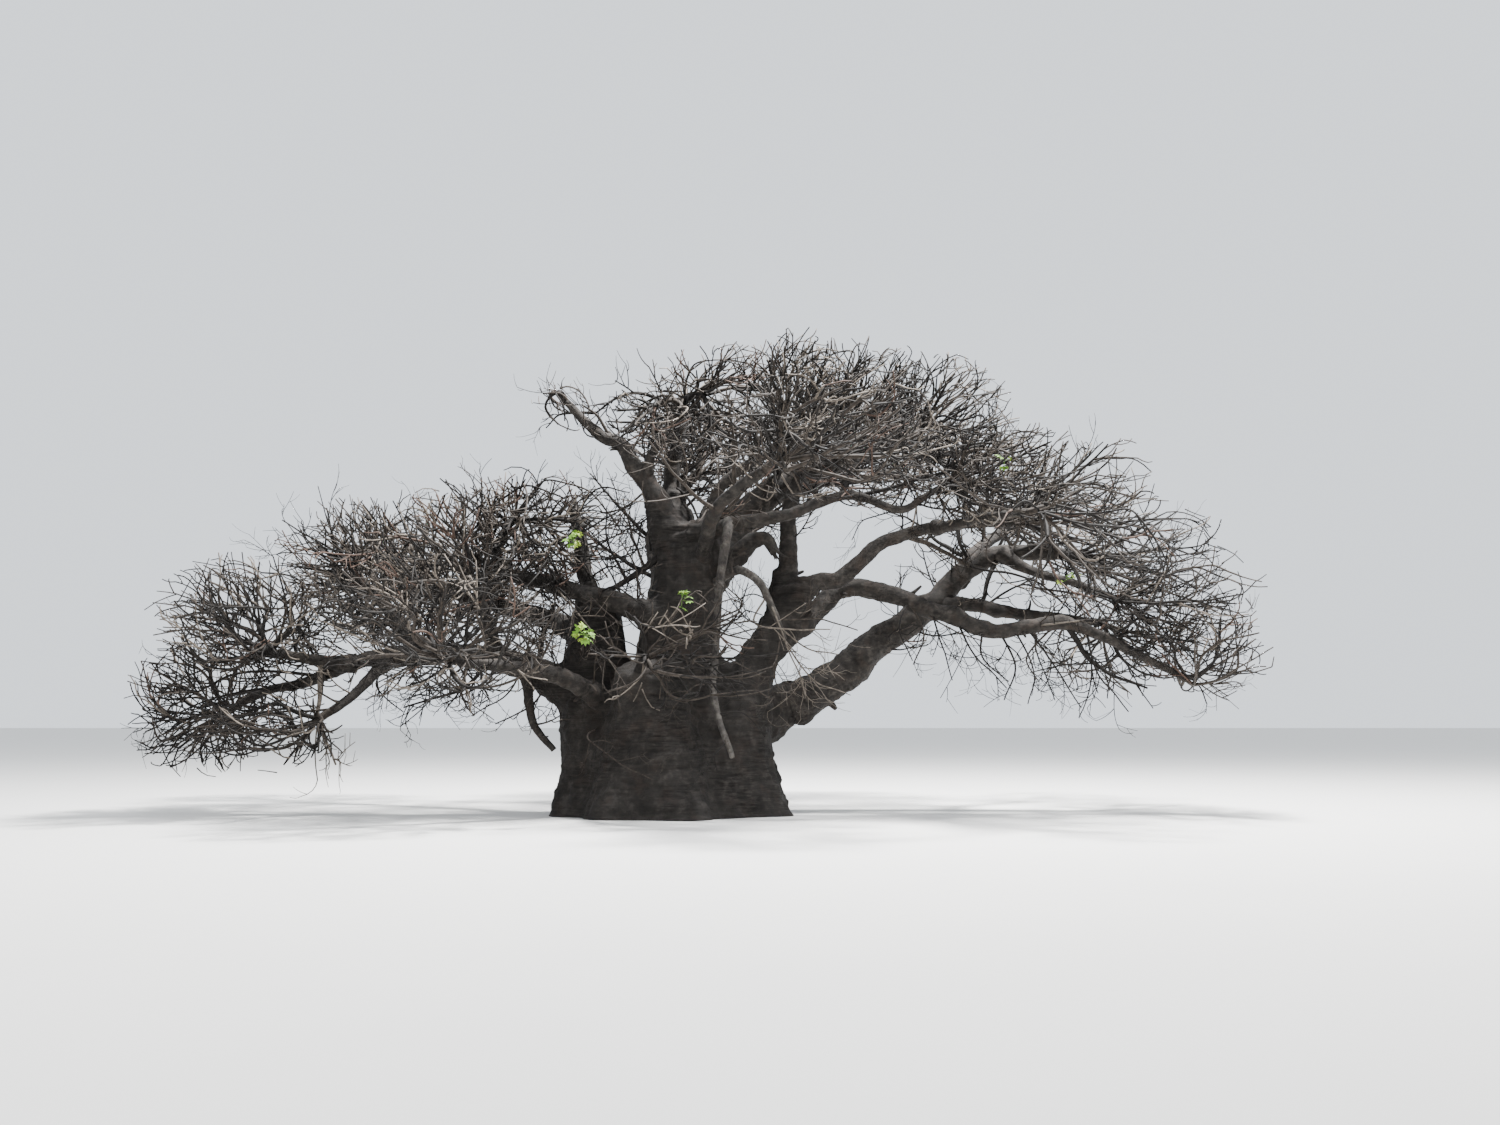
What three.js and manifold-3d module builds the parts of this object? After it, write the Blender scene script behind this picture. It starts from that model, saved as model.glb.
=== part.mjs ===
import * as THREE from "three";
import { mergeVertices } from "three/addons/utils/BufferGeometryUtils.js";
import Module from "manifold-3d";

const wasm = await Module();
wasm.setup();

// All sizes are in millimetres. The origin is the middle of the trunk's flat foot.
// +X is the right of the front view, +Y leads away from the front and +Z is up.
const SEAT_GAP = 0.3;
const STALK_GAP = 0.35;
const FOOT_DEPTH = 300;
const FOOT_SPREAD = 8000;
const STEM_SIDES = 16;
const STEM_STEPS_PER_SPAN = 2;
const BUTTRESS_COUNT = 5;
const BUTTRESS_DEPTH = 0.14;
const BUTTRESS_HEIGHT = 520;
const FLARE_DEPTH = 0.15;
const FLARE_HEIGHT = 330;
const FLUTE_COUNT = 3;
const FLUTE_DEPTH = 0.035;
const BOUGH_STEP = 400;
const THICK_BOUGH = 120;
const TWIG_SIDES = 3;
const STALK_SIDES = 5;
const STALK_LENGTH = 170;
const TWIG_TIP_RADIUS = 11;
const TWIG_ROOM = 12;
const REACH = 0.97;
const REACH_WAYS = [[0, 0, 1], [1, 0, 0.1], [-1, 0, 0.1], [0, -1, 0.1], [0, 1, 0.1], [0.6, 0, 0.8],
  [-0.6, 0, 0.8]];
const INNER_SHARE = 0.3;
const BORDER = 0.06;
const SPACING = 0.42;
const BEND_COST = 1.2;
const LENGTH_COST = 0.8;
const SHARPEST_BEND = 0.35;

const BARK_DARK = "#5d544b";
const BARK_PALE = "#8f8578";
const TWIG_BROWN = "#7d6f62";
const DEAD_BOUGHS = ["grey_arch", "hanging_stem"];

// Stems that are grown together into the trunk: way points and the radius at each.
const STEMS = {
  west: [[-620, -100, 20, 850], [-820, -50, 880, 550], [-950, 0, 1580, 440], [-920, 0, 2170, 360],
    [-940, 50, 2620, 290]],
  middle: [[290, 100, 10, 1010], [290, 50, 870, 750], [210, 0, 1580, 620], [160, 0, 2170, 510],
    [240, 0, 2690, 460], [290, 0, 3270, 430], [350, 0, 3720, 390]],
  east: [[790, -200, 30, 760], [870, -200, 880, 490], [1010, -150, 1640, 310], [1240, -100, 2100, 230],
    [1450, -50, 2460, 210], [1550, -50, 2750, 170]],
  rear: [[130, 900, 0, 800], [70, 950, 860, 570], [10, 1000, 1600, 410], [-50, 1150, 2280, 300],
    [-120, 1300, 2840, 250]],
  front: [[-120, -560, 20, 900], [-150, -600, 830, 700], [-230, -740, 1450, 430], [-370, -920, 1880, 230]],
};

// Boughs: name, parent, radius at the root, radius at the tip and way points. The root lies in the parent.
const BOUGHS = [
  ["low_left_bough", "trunk", 193, 90, [[-1120, -100, 1530], [-1620, -150, 1760], [-2140, -200, 1900],
    [-2920, -200, 2020], [-3630, -150, 2000], [-4160, -100, 1880]]],
  ["low_left_reach", "low_left_bough", 88, 39, [[-4160, -100, 1880], [-4690, 0, 1690], [-5160, 50, 1580],
    [-5580, 100, 1380]]],
  ["prop_bough", "low_left_bough", 77, 53, [[-3580, -200, 1960], [-3780, -450, 1660], [-3990, -600, 1440],
    [-4170, -700, 1310]]],
  ["hanging_bough", "low_left_bough", 71, 38, [[-1810, -200, 1810], [-1720, -500, 1450], [-1610, -600, 1070],
    [-1390, -600, 820]]],
  ["far_left_bough", "low_left_bough", 90, 55, [[-4020, -100, 1920], [-4460, -300, 1950],
    [-4830, -500, 2020]]],
  ["left_riser", "low_left_bough", 97, 56, [[-3190, -200, 2000], [-3530, 250, 2350],
    [-3810, 450, 2700]]],
  ["mid_left_riser", "low_left_bough", 109, 62, [[-2230, -250, 1920], [-2210, -600, 2300],
    [-2310, -800, 2700]]],
  ["upper_left_bough", "trunk", 155, 53, [[10, -200, 2500], [-480, -450, 2620], [-970, -450, 2810],
    [-2090, 0, 3090], [-2290, 200, 3360], [-2180, 250, 3620]]],
  ["snag", "trunk", 133, 74, [[-1000, 200, 2500], [-1130, 420, 3100], [-1230, 470, 3590], [-1290, 470, 4000]]],
  ["left_back_bough", "trunk", 144, 80, [[-1050, 200, 2240], [-1720, 1000, 2580],
    [-2580, 1700, 2830], [-3380, 2200, 3050]]],
  ["left_front_bough", "trunk", 141, 60, [[-780, -250, 1380], [-1050, -900, 1640],
    [-1650, -1550, 1790], [-2300, -2050, 1880]]],
  ["left_leader", "trunk", 169, 45, [[60, -50, 3500], [-130, -100, 3980], [-340, -150, 4320],
    [-610, -200, 4780], [-830, -200, 4880], [-1320, -300, 5310]]],
  ["fork_leader", "left_leader", 65, 46, [[-310, -150, 4280], [-200, -300, 4590], [-40, -350, 4800],
    [80, -400, 5130]]],
  ["centre_leader", "trunk", 145, 80, [[150, 200, 3600], [60, 350, 4240], [90, 400, 4650], [170, 400, 5300]]],
  ["right_leader", "trunk", 84, 52, [[480, -150, 3520], [630, -250, 4030], [790, -300, 4280],
    [1040, -350, 4470], [1350, -350, 4670]]],
  ["main_top_bough", "trunk", 237, 74, [[560, 150, 3220], [990, 350, 3890], [1340, 400, 4210],
    [1800, 550, 4490], [2310, 600, 4710], [2850, 600, 4860]]],
  ["crossing_bough", "trunk", 103, 38, [[330, -300, 3570], [880, -620, 3710], [1510, -650, 3810],
    [2340, -600, 4060], [2970, -700, 3870], [3410, -750, 4090]]],
  ["broken_bough", "trunk", 182, 64, [[450, -100, 3000], [920, -250, 3320], [1100, -300, 3470],
    [1280, -350, 3500], [1400, -350, 3330]]],
  ["back_top_bough", "trunk", 192, 90, [[-80, 1200, 2600], [220, 1900, 3400], [710, 2400, 4020],
    [1370, 2750, 4420], [1970, 2950, 4640]]],
  ["back_left_bough", "trunk", 124, 66, [[-60, 1200, 2400], [-280, 1900, 3260], [-350, 2300, 3800],
    [-130, 2600, 4360], [180, 2700, 4680]]],
  ["front_top_bough", "trunk", 103, 62, [[430, -250, 3120], [560, -1000, 3600], [800, -1500, 3900],
    [1250, -1950, 4170]]],
  ["grey_arch", "trunk", 64, 37, [[520, -200, 2900], [990, -850, 3060], [1220, -950, 2870],
    [1490, -900, 2190]]],
  ["hanging_stem", "crossing_bough", 62, 32, [[800, -560, 3690], [790, -840, 3580],
    [720, -930, 3150], [650, -950, 2440], [630, -1250, 1560], [860, -1700, 760]]],
  ["right_upright", "trunk", 143, 79, [[1540, -20, 2620], [1530, 50, 3080], [1540, 100, 3550],
    [1620, 100, 4080], [1770, 0, 4460]]],
  ["right_arch", "trunk", 123, 51, [[1480, -70, 2520], [1870, -200, 2960], [2270, -220, 3030],
    [2750, -270, 3460], [3390, -300, 3660], [4330, -500, 3710]]],
  ["right_low_arch", "trunk", 142, 85, [[1340, -100, 2160], [2230, 240, 2870], [2650, 240, 2870],
    [3610, 0, 2590], [4180, -50, 2340], [5130, 0, 2460]]],
  ["right_low_reach", "right_low_arch", 83, 45, [[5130, 0, 2460], [5620, 0, 2300], [6140, 50, 2050],
    [6560, 50, 1820]]],
  ["great_right_bough", "trunk", 314, 81, [[810, 300, 960], [1600, 500, 1460], [2370, 650, 1900],
    [3430, 750, 2670], [4240, 750, 3390], [5270, 650, 3420]]],
  ["right_low_fork", "great_right_bough", 108, 54, [[3490, 750, 2740], [3950, 600, 2750], [4540, 550, 2630],
    [5090, 650, 2550], [5660, 800, 2510]]],
  ["fork_droop", "great_right_bough", 81, 42, [[4440, 700, 3430], [4810, 500, 3190], [5240, 350, 3040],
    [5680, 250, 2870]]],
  ["right_back_bough", "great_right_bough", 108, 70, [[3890, 800, 3080], [4250, 1500, 3530],
    [4700, 2100, 3880]]],
  ["right_front_bough", "right_arch", 71, 41, [[3460, -320, 3660], [3790, -1000, 3680], [4100, -1600, 3670],
    [4370, -2100, 3650]]],
];

// Masses of bare twigs: name, bough, middle of the space, its half sizes and the number of buds.
const MASSES = [
  ["left_wisp_twigs", "left_leader", [-1330, -250, 5220], [320, 400, 330], 9],
  ["left_tuft_twigs", "fork_leader", [-90, -600, 4950], [680, 1100, 520], 18],
  ["crest_left_twigs", "centre_leader", [680, 500, 5360], [960, 1800, 710], 24],
  ["crest_middle_twigs", "right_leader", [1620, -500, 5260], [890, 1800, 770], 24],
  ["crest_right_twigs", "right_upright", [2500, 300, 5330], [900, 1900, 820], 25],
  ["crest_far_right_twigs", "main_top_bough", [3510, 500, 5090], [980, 1900, 850], 25],
  ["shoulder_twigs", "crossing_bough", [4110, -800, 4220], [920, 1700, 700], 23],
  ["right_shoulder_twigs", "right_arch", [5160, -400, 4010], [1030, 1800, 770], 24],
  ["right_middle_twigs", "great_right_bough", [6240, 900, 3390], [1120, 1900, 820], 24],
  ["right_outer_twigs", "fork_droop", [6550, -100, 2760], [950, 1800, 660], 22],
  ["right_lower_twigs", "right_low_fork", [6170, 1300, 2150], [1100, 1300, 610], 19],
  ["right_tip_twigs", "right_low_reach", [6940, 0, 2180], [730, 1500, 690], 22],
  ["right_back_twigs", "right_back_bough", [5500, 3000, 3950], [1530, 1700, 830], 22],
  ["right_front_twigs", "right_front_bough", [4880, -2600, 3170], [1120, 1600, 730], 23],
  ["back_top_twigs", "back_top_bough", [2750, 3100, 5230], [1650, 1800, 780], 22],
  ["back_left_twigs", "back_left_bough", [410, 3100, 5240], [1260, 1700, 710], 19],
  ["front_top_twigs", "front_top_bough", [1980, -2700, 4440], [1460, 1700, 680], 23],
  ["left_crest_twigs", "upper_left_bough", [-1690, 300, 3590], [1110, 1800, 810], 24],
  ["left_middle_twigs", "mid_left_riser", [-2560, -900, 3220], [1030, 1700, 840], 24],
  ["left_shoulder_twigs", "left_riser", [-4060, 500, 3150], [1070, 1800, 890], 24],
  ["far_left_twigs", "far_left_bough", [-5120, -700, 2440], [1110, 1600, 770], 22],
  ["far_left_tip_twigs", "low_left_reach", [-6050, 200, 1430], [820, 1500, 890], 23],
  ["left_droop_twigs", "prop_bough", [-4850, -1100, 1090], [950, 1000, 480], 14],
  ["left_back_twigs", "left_back_bough", [-3890, 2900, 3100], [1700, 1700, 890], 22],
  ["left_front_twigs", "left_front_bough", [-2460, -2600, 2230], [1360, 1600, 850], 24],
  ["front_skirt_twigs", "trunk", [300, -2250, 1900], [1150, 750, 720], 13],
];
const SKIRT_ROOT = [-370, -900, 1700];
const SKIRT_WAY = [-200, -1450, 1950];
const SKIRT_RADIUS = 60;

function vector(values) {
  return new THREE.Vector3(values[0], values[1], values[2]);
}

// A repeatable run of numbers from 0 to 1.
function seededRandom(seed) {
  let state = seed >>> 0;
  return () => {
    state = (state + 0x6d2b79f5) >>> 0;
    let mix = Math.imul(state ^ (state >>> 15), state | 1);
    mix ^= mix + Math.imul(mix ^ (mix >>> 7), mix | 61);
    return ((mix ^ (mix >>> 14)) >>> 0) / 4294967296;
  };
}

// Directions and side vectors of the rings, carried along the line without twist.
function carryFrames(centres) {
  const last = centres.length - 1;
  const steps = [];
  for (let i = 0; i < last; i += 1) {
    steps.push(centres[i + 1].clone().sub(centres[i]).normalize());
  }
  const frames = [];
  let side = new THREE.Vector3(1, 0, 0);
  if (Math.abs(steps[0].x) > 0.8) {
    side = new THREE.Vector3(0, 0, 1);
  }
  for (let i = 0; i <= last; i += 1) {
    const along = steps[Math.min(i, last - 1)].clone();
    if (i > 0 && i < last) {
      along.add(steps[i - 1]).normalize();
    }
    side = side.clone().addScaledVector(along, -side.dot(along)).normalize();
    frames.push({ along, side, up: along.clone().cross(side) });
  }
  return frames;
}

// A closed tube through ring centres. shape(angle, centre) scales the ring's radius.
function sweep(centres, radii, sides, shape = () => 1) {
  const frames = carryFrames(centres);
  const positions = [];
  const index = [];
  centres.forEach((centre, i) => {
    for (let j = 0; j < sides; j += 1) {
      const angle = (2 * Math.PI * j) / sides;
      const radius = radii[i] * shape(angle, centre);
      const point = centre.clone();
      point.addScaledVector(frames[i].side, radius * Math.cos(angle));
      point.addScaledVector(frames[i].up, radius * Math.sin(angle));
      positions.push(point.x, point.y, point.z);
    }
  });
  for (let i = 0; i < centres.length - 1; i += 1) {
    for (let j = 0; j < sides; j += 1) {
      const a = i * sides + j;
      const b = i * sides + ((j + 1) % sides);
      index.push(a, b, a + sides, b, b + sides, a + sides);
    }
  }
  const end = (centres.length - 1) * sides;
  for (let j = 1; j < sides - 1; j += 1) {
    index.push(0, j + 1, j);
    index.push(end, end + j, end + j + 1);
  }
  const geometry = new THREE.BufferGeometry();
  geometry.setAttribute("position", new THREE.Float32BufferAttribute(positions, 3));
  geometry.setIndex(index);
  return geometry;
}

function toSolid(geometry) {
  const vertProperties = new Float32Array(geometry.getAttribute("position").array);
  const triVerts = new Uint32Array(geometry.getIndex().array);
  return new wasm.Manifold(new wasm.Mesh({ numProp: 3, vertProperties, triVerts }));
}

function toGeometry(solid) {
  const mesh = solid.getMesh();
  const geometry = new THREE.BufferGeometry();
  geometry.setAttribute("position", new THREE.Float32BufferAttribute(mesh.vertProperties, 3));
  geometry.setIndex(Array.from(mesh.triVerts));
  geometry.computeVertexNormals();
  return geometry;
}

function biggestBody(solid) {
  let best = null;
  for (const body of solid.decompose()) {
    if (best === null || body.volume() > best.volume()) {
      best = body;
    }
  }
  return best;
}

function toMesh(name, solid, colour, roughness) {
  const material = new THREE.MeshStandardMaterial({ color: colour, roughness, metalness: 0 });
  material.flatShading = true;
  const mesh = new THREE.Mesh(toGeometry(solid), material);
  mesh.name = name;
  return mesh;
}

// Ring centres and radii of one trunk stem, led down below the ground line.
function stemLine(points) {
  const first = points[0];
  const wayPoints = [[first[0], first[1], -FOOT_DEPTH, first[3] * 1.06], ...points];
  const curve = new THREE.CatmullRomCurve3(wayPoints.map(vector), false, "centripetal");
  const taper = new THREE.SplineCurve(wayPoints.map((point, k) => new THREE.Vector2(k, point[3])));
  const steps = STEM_STEPS_PER_SPAN * (wayPoints.length - 1);
  const centres = [];
  const radii = [];
  for (let k = 0; k <= steps; k += 1) {
    centres.push(curve.getPoint(k / steps));
    radii.push(taper.getPoint(k / steps).y);
  }
  return { centres, radii };
}

// A root flare and buttresses that fade upwards from the ground, over shallow flutes that run up the stem.
function barkShape(phase) {
  return (angle, centre) => {
    const height = Math.max(centre.z, 0);
    const flare = FLARE_DEPTH * Math.exp(-height / FLARE_HEIGHT);
    const fade = Math.exp(-height / BUTTRESS_HEIGHT);
    const buttress = BUTTRESS_DEPTH * fade * Math.cos(BUTTRESS_COUNT * angle + phase);
    return 1 + flare + buttress + FLUTE_DEPTH * Math.cos(FLUTE_COUNT * angle + 2 * phase);
  };
}

// A closed shape's solid, with corners shared between its faces.
function blockSolid(box) {
  box.deleteAttribute("normal");
  box.deleteAttribute("uv");
  return toSolid(mergeVertices(box));
}

// The same line grown by a margin all round and past both of its ends.
function widened(line, margin) {
  const centres = line.centres.map((centre) => centre.clone());
  const last = centres.length - 1;
  const tail = centres[0].clone().sub(centres[1]).normalize();
  const head = centres[last].clone().sub(centres[last - 1]).normalize();
  centres[0].addScaledVector(tail, margin);
  centres[last].addScaledVector(head, margin);
  return { centres, radii: line.radii.map((radius) => radius + margin) };
}

// The stems joined and cut flat at the ground, each stem grown by the margin.
function trunkSolid(lines, margin) {
  let solid = null;
  lines.forEach((line, k) => {
    const { centres, radii } = widened(line, margin);
    const stem = toSolid(sweep(centres, radii, STEM_SIDES, barkShape(1.3 * k)));
    solid = solid === null ? stem : solid.add(stem);
  });
  const ground = new THREE.BoxGeometry(FOOT_SPREAD, FOOT_SPREAD, FOOT_DEPTH * 2);
  ground.translate(0, 0, -FOOT_DEPTH);
  return biggestBody(solid.subtract(blockSolid(ground)));
}

// Ring centres and radii of one bough, tapering evenly from root to tip.
function boughLine(wayPoints, rootRadius, tipRadius) {
  const curve = new THREE.CatmullRomCurve3(wayPoints.map(vector), false, "centripetal");
  const steps = Math.max(4, Math.round(curve.getLength() / BOUGH_STEP));
  const centres = curve.getSpacedPoints(steps);
  const radii = centres.map((_, k) => THREE.MathUtils.lerp(rootRadius, tipRadius, k / steps));
  return { centres, radii };
}

function boughSides(rootRadius) {
  return rootRadius > THICK_BOUGH ? 8 : 6;
}

// The straight pieces of a line as capsules that twigs keep clear of.
function capsules(line) {
  const list = [];
  for (let i = 0; i < line.centres.length - 1; i += 1) {
    const radius = Math.max(line.radii[i], line.radii[i + 1]);
    list.push({ a: line.centres[i], b: line.centres[i + 1], radius });
  }
  return list;
}

// Shortest distance between the straight pieces a-b and c-d.
function pieceDistance(a, b, c, d) {
  const u = b.clone().sub(a);
  const v = d.clone().sub(c);
  const w = a.clone().sub(c);
  const uu = u.dot(u);
  const uv = u.dot(v);
  const vv = v.dot(v);
  const uw = u.dot(w);
  const vw = v.dot(w);
  const cross = uu * vv - uv * uv;
  let s = cross > 1e-9 ? THREE.MathUtils.clamp((uv * vw - vv * uw) / cross, 0, 1) : 0;
  const t = THREE.MathUtils.clamp((uv * s + vw) / vv, 0, 1);
  s = THREE.MathUtils.clamp((uv * t - uw) / uu, 0, 1);
  return w.addScaledVector(u, s).addScaledVector(v, -t).length();
}

// How far out in a mass's space a point lies: 0 in the middle, 1 on the border.
function outness(point, mass) {
  return point.clone().sub(mass.middle).divide(mass.half).length();
}

function inOwnSpace(point, mass, masses) {
  const own = outness(point, mass);
  return own <= 1 && masses.every((other) => other === mass || outness(point, other) > own + BORDER);
}

// Bud points of a mass: first the furthest reach each way, then evenly spread seeded points.
function budPoints(mass, masses, random) {
  const buds = [];
  for (const way of REACH_WAYS) {
    const point = vector(way).normalize().multiplyScalar(REACH).multiply(mass.half).add(mass.middle);
    if (inOwnSpace(point, mass, masses)) {
      buds.push(point);
    }
  }
  const room = SPACING * Math.cbrt((mass.half.x * mass.half.y * mass.half.z) / (mass.buds / 30));
  for (let tries = 0; tries < 4000 && buds.length < mass.buds; tries += 1) {
    const height = 2 * random() - 1;
    const turn = 2 * Math.PI * random();
    const out = INNER_SHARE + (REACH - INNER_SHARE) * Math.sqrt(random());
    const flat = Math.sqrt(1 - height * height);
    const way = new THREE.Vector3(flat * Math.cos(turn), flat * Math.sin(turn), height);
    const point = way.multiplyScalar(out).multiply(mass.half).add(mass.middle);
    if (inOwnSpace(point, mass, masses) && buds.every((bud) => bud.distanceTo(point) > room)) {
      buds.push(point);
    }
  }
  return buds;
}

// Twigs of one mass: each step joins the bud that is cheapest to reach by a short, gently bent twig.
function growTwigs(mass, masses, taken, random) {
  const open = budPoints(mass, masses, random).map((point) => ({ point, tried: new Set() }));
  const nodes = mass.stalk.map((point, k) => ({ point, parent: k - 1, length: k * STALK_LENGTH }));
  const bestOffer = () => {
    let best = null;
    open.forEach((bud, i) => {
      for (let k = mass.stalk.length - 1; k < nodes.length; k += 1) {
        const from = nodes[k];
        const before = nodes[from.parent].point;
        const step = bud.point.clone().sub(from.point);
        const bend = 1 - step.clone().normalize().dot(from.point.clone().sub(before).normalize());
        const cost = step.length() * (1 + BEND_COST * bend) + LENGTH_COST * from.length;
        if (!bud.tried.has(k) && (best === null || cost < best.cost)) {
          best = { cost, i, k, step };
        }
      }
    });
    return best;
  };
  while (open.length > 0) {
    const offer = bestOffer();
    if (offer === null) {
      break;
    }
    const { i, k, step } = offer;
    const bud = open[i];
    const blocked = taken.some((piece) => {
      const room = piece.radius + 2 * TWIG_TIP_RADIUS + TWIG_ROOM;
      return pieceDistance(nodes[k].point, bud.point, piece.a, piece.b) < room;
    });
    if (blocked) {
      bud.tried.add(k);
      if (bud.tried.size > 2) {
        open.splice(i, 1);
      }
    } else {
      nodes.push({ point: bud.point, parent: k, length: nodes[k].length + step.length() });
      open.splice(i, 1);
    }
  }
  return nodes;
}

// Radii that thin out with the number of tips a twig still carries.
function twigRadii(nodes, rootRadius) {
  const tips = nodes.map(() => 0);
  const forks = nodes.map(() => 0);
  nodes.forEach((node) => {
    if (node.parent >= 0) {
      forks[node.parent] += 1;
    }
  });
  for (let k = nodes.length - 1; k > 0; k -= 1) {
    tips[k] += forks[k] === 0 ? 1 : 0;
    tips[nodes[k].parent] += tips[k];
  }
  const power = Math.log(rootRadius / TWIG_TIP_RADIUS) / Math.log(Math.max(tips[0], 2));
  return { tips, radii: tips.map((count) => TWIG_TIP_RADIUS * count ** power) };
}

// Chains of nodes: at a fork the straightest strong child leads on and the others start chains of their own.
function twigChains(nodes, tips) {
  const chains = [];
  const chainOf = [];
  nodes.forEach((node, k) => {
    if (node.parent < 0) {
      chains.push([k]);
      chainOf[k] = 0;
      return;
    }
    const own = chains[chainOf[node.parent]];
    const isLast = own[own.length - 1] === node.parent;
    const before = nodes[node.parent].parent < 0 ? null : nodes[nodes[node.parent].parent].point;
    const step = node.point.clone().sub(nodes[node.parent].point).normalize();
    const lead = before === null ? 1 : step.dot(nodes[node.parent].point.clone().sub(before).normalize());
    const heir = nodes.findIndex((other, i) => other.parent === node.parent && tips[i] > 1.5 * tips[k]);
    if (isLast && lead > SHARPEST_BEND && heir < 0) {
      own.push(k);
      chainOf[k] = chainOf[node.parent];
    } else {
      chains.push([node.parent, k]);
      chainOf[k] = chains.length - 1;
    }
  });
  return chains;
}

function massSolid(nodes, rootRadius) {
  const { tips, radii } = twigRadii(nodes, rootRadius);
  let solid = null;
  for (const chain of twigChains(nodes, tips)) {
    const centres = chain.map((k) => nodes[k].point);
    const thick = chain.map((k, i) => (i === 0 && k > 0 ? radii[chain[1]] : radii[k]));
    const sides = chain[0] === 0 ? STALK_SIDES : TWIG_SIDES;
    const twig = toSolid(sweep(centres, thick, sides));
    solid = solid === null ? twig : solid.add(twig);
  }
  return solid;
}

// Points of the stalk that joins a mass to its bough's tip, or leads it out of the trunk.
function stalkOf(line) {
  const last = line.centres.length - 1;
  const tip = line.centres[last];
  const along = tip.clone().sub(line.centres[last - 1]).normalize();
  return [STALK_GAP, STALK_LENGTH].map((way) => tip.clone().addScaledVector(along, way));
}

function buildTree() {
  const tree = new THREE.Group();
  const stemLines = Object.values(STEMS).map(stemLine);
  tree.add(toMesh("trunk", trunkSolid(stemLines, 0), BARK_DARK, 0.95));
  const taken = stemLines.flatMap(capsules);
  const grown = [trunkSolid(stemLines, SEAT_GAP)];
  const lines = {};
  for (const [name, , rootRadius, tipRadius, wayPoints] of BOUGHS) {
    const line = boughLine(wayPoints, rootRadius, tipRadius);
    const sides = boughSides(rootRadius);
    const whole = toSolid(sweep(line.centres, line.radii, sides));
    const free = grown.reduce((solid, other) => solid.subtract(other), whole);
    const colour = DEAD_BOUGHS.includes(name) ? BARK_PALE : BARK_DARK;
    tree.add(toMesh(name, biggestBody(free), colour, 0.92));
    const wide = widened(line, SEAT_GAP);
    grown.push(toSolid(sweep(wide.centres, wide.radii, sides)));
    taken.push(...capsules(line));
    lines[name] = line;
  }
  const masses = MASSES.map(([name, bough, middle, half, buds]) => ({
    name, bough, middle: vector(middle), half: vector(half), buds,
  }));
  masses.forEach((mass, k) => {
    const line = lines[mass.bough];
    const rootRadius = line ? line.radii[line.radii.length - 1] : SKIRT_RADIUS;
    mass.stalk = line ? stalkOf(line) : [vector(SKIRT_ROOT), vector(SKIRT_WAY)];
    const nodes = growTwigs(mass, masses, taken, seededRandom(101 + 17 * k));
    const whole = massSolid(nodes, rootRadius);
    const free = grown.reduce((solid, other) => solid.subtract(other), whole);
    tree.add(toMesh(mass.name, biggestBody(free), TWIG_BROWN, 0.88));
    nodes.slice(1).forEach((node) => {
      taken.push({ a: nodes[node.parent].point, b: node.point, radius: TWIG_TIP_RADIUS * 2 });
    });
  });
  return tree;
}

export default buildTree();
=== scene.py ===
import itertools
import math

import bmesh
import bpy
import numpy as np
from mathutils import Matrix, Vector


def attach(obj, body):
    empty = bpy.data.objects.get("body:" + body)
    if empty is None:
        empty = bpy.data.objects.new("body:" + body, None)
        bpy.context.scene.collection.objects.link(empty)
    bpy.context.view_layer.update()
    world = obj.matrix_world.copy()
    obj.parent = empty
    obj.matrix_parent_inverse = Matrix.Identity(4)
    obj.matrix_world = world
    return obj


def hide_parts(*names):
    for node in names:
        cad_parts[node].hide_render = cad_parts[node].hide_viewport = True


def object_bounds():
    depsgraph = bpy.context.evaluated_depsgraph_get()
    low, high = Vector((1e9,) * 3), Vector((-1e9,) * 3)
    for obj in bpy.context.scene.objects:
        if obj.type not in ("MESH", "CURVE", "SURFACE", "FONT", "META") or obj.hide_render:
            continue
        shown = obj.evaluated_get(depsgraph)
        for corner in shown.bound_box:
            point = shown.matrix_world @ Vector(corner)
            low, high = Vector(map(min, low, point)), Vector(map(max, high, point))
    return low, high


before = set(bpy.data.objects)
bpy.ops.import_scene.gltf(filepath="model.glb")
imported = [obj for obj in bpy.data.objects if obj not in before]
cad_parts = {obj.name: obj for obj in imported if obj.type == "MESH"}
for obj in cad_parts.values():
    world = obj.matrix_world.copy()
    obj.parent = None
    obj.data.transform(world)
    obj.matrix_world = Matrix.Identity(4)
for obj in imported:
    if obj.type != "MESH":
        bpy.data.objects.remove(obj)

CAD_BOX = [list(corner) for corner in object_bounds()]
MM = 0.001
UP = np.array([0.0, 0.0, 1.0])

# Camera of the view: place, pitch, and focal length in pixels of a 1500 pixel wide picture.
EYE = (1.07, -21.4, 1.26)
PITCH = math.atan(152.5 / 1647.0)
FOCAL_PIXELS = 1647.0
PICTURE_WIDTH = 1500
SENSOR = 36.0

# The source's sizes, in millimetres.
STALK_GAP = 0.35
FOOT_DEPTH = 300
FOOT_SWELL = 1.06
BOUGH_STEP = 400
STALK_LENGTH = 170
TWIG_TIP_RADIUS = 11
TWIG_ROOM = 12
REACH = 0.97
REACH_WAYS = [[0, 0, 1], [1, 0, 0.1], [-1, 0, 0.1], [0, -1, 0.1], [0, 1, 0.1], [0.6, 0, 0.8], [-0.6, 0, 0.8]]
INNER_SHARE = 0.3
BORDER = 0.06
SPACING = 0.42
BEND_COST = 1.2
LENGTH_COST = 0.8
BUTTRESS_COUNT = 5
BUTTRESS_DEPTH = 0.14
BUTTRESS_HEIGHT = 520
FLARE_DEPTH = 0.15
FLARE_HEIGHT = 330
FLUTE_COUNT = 3
FLUTE_DEPTH = 0.035

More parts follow.
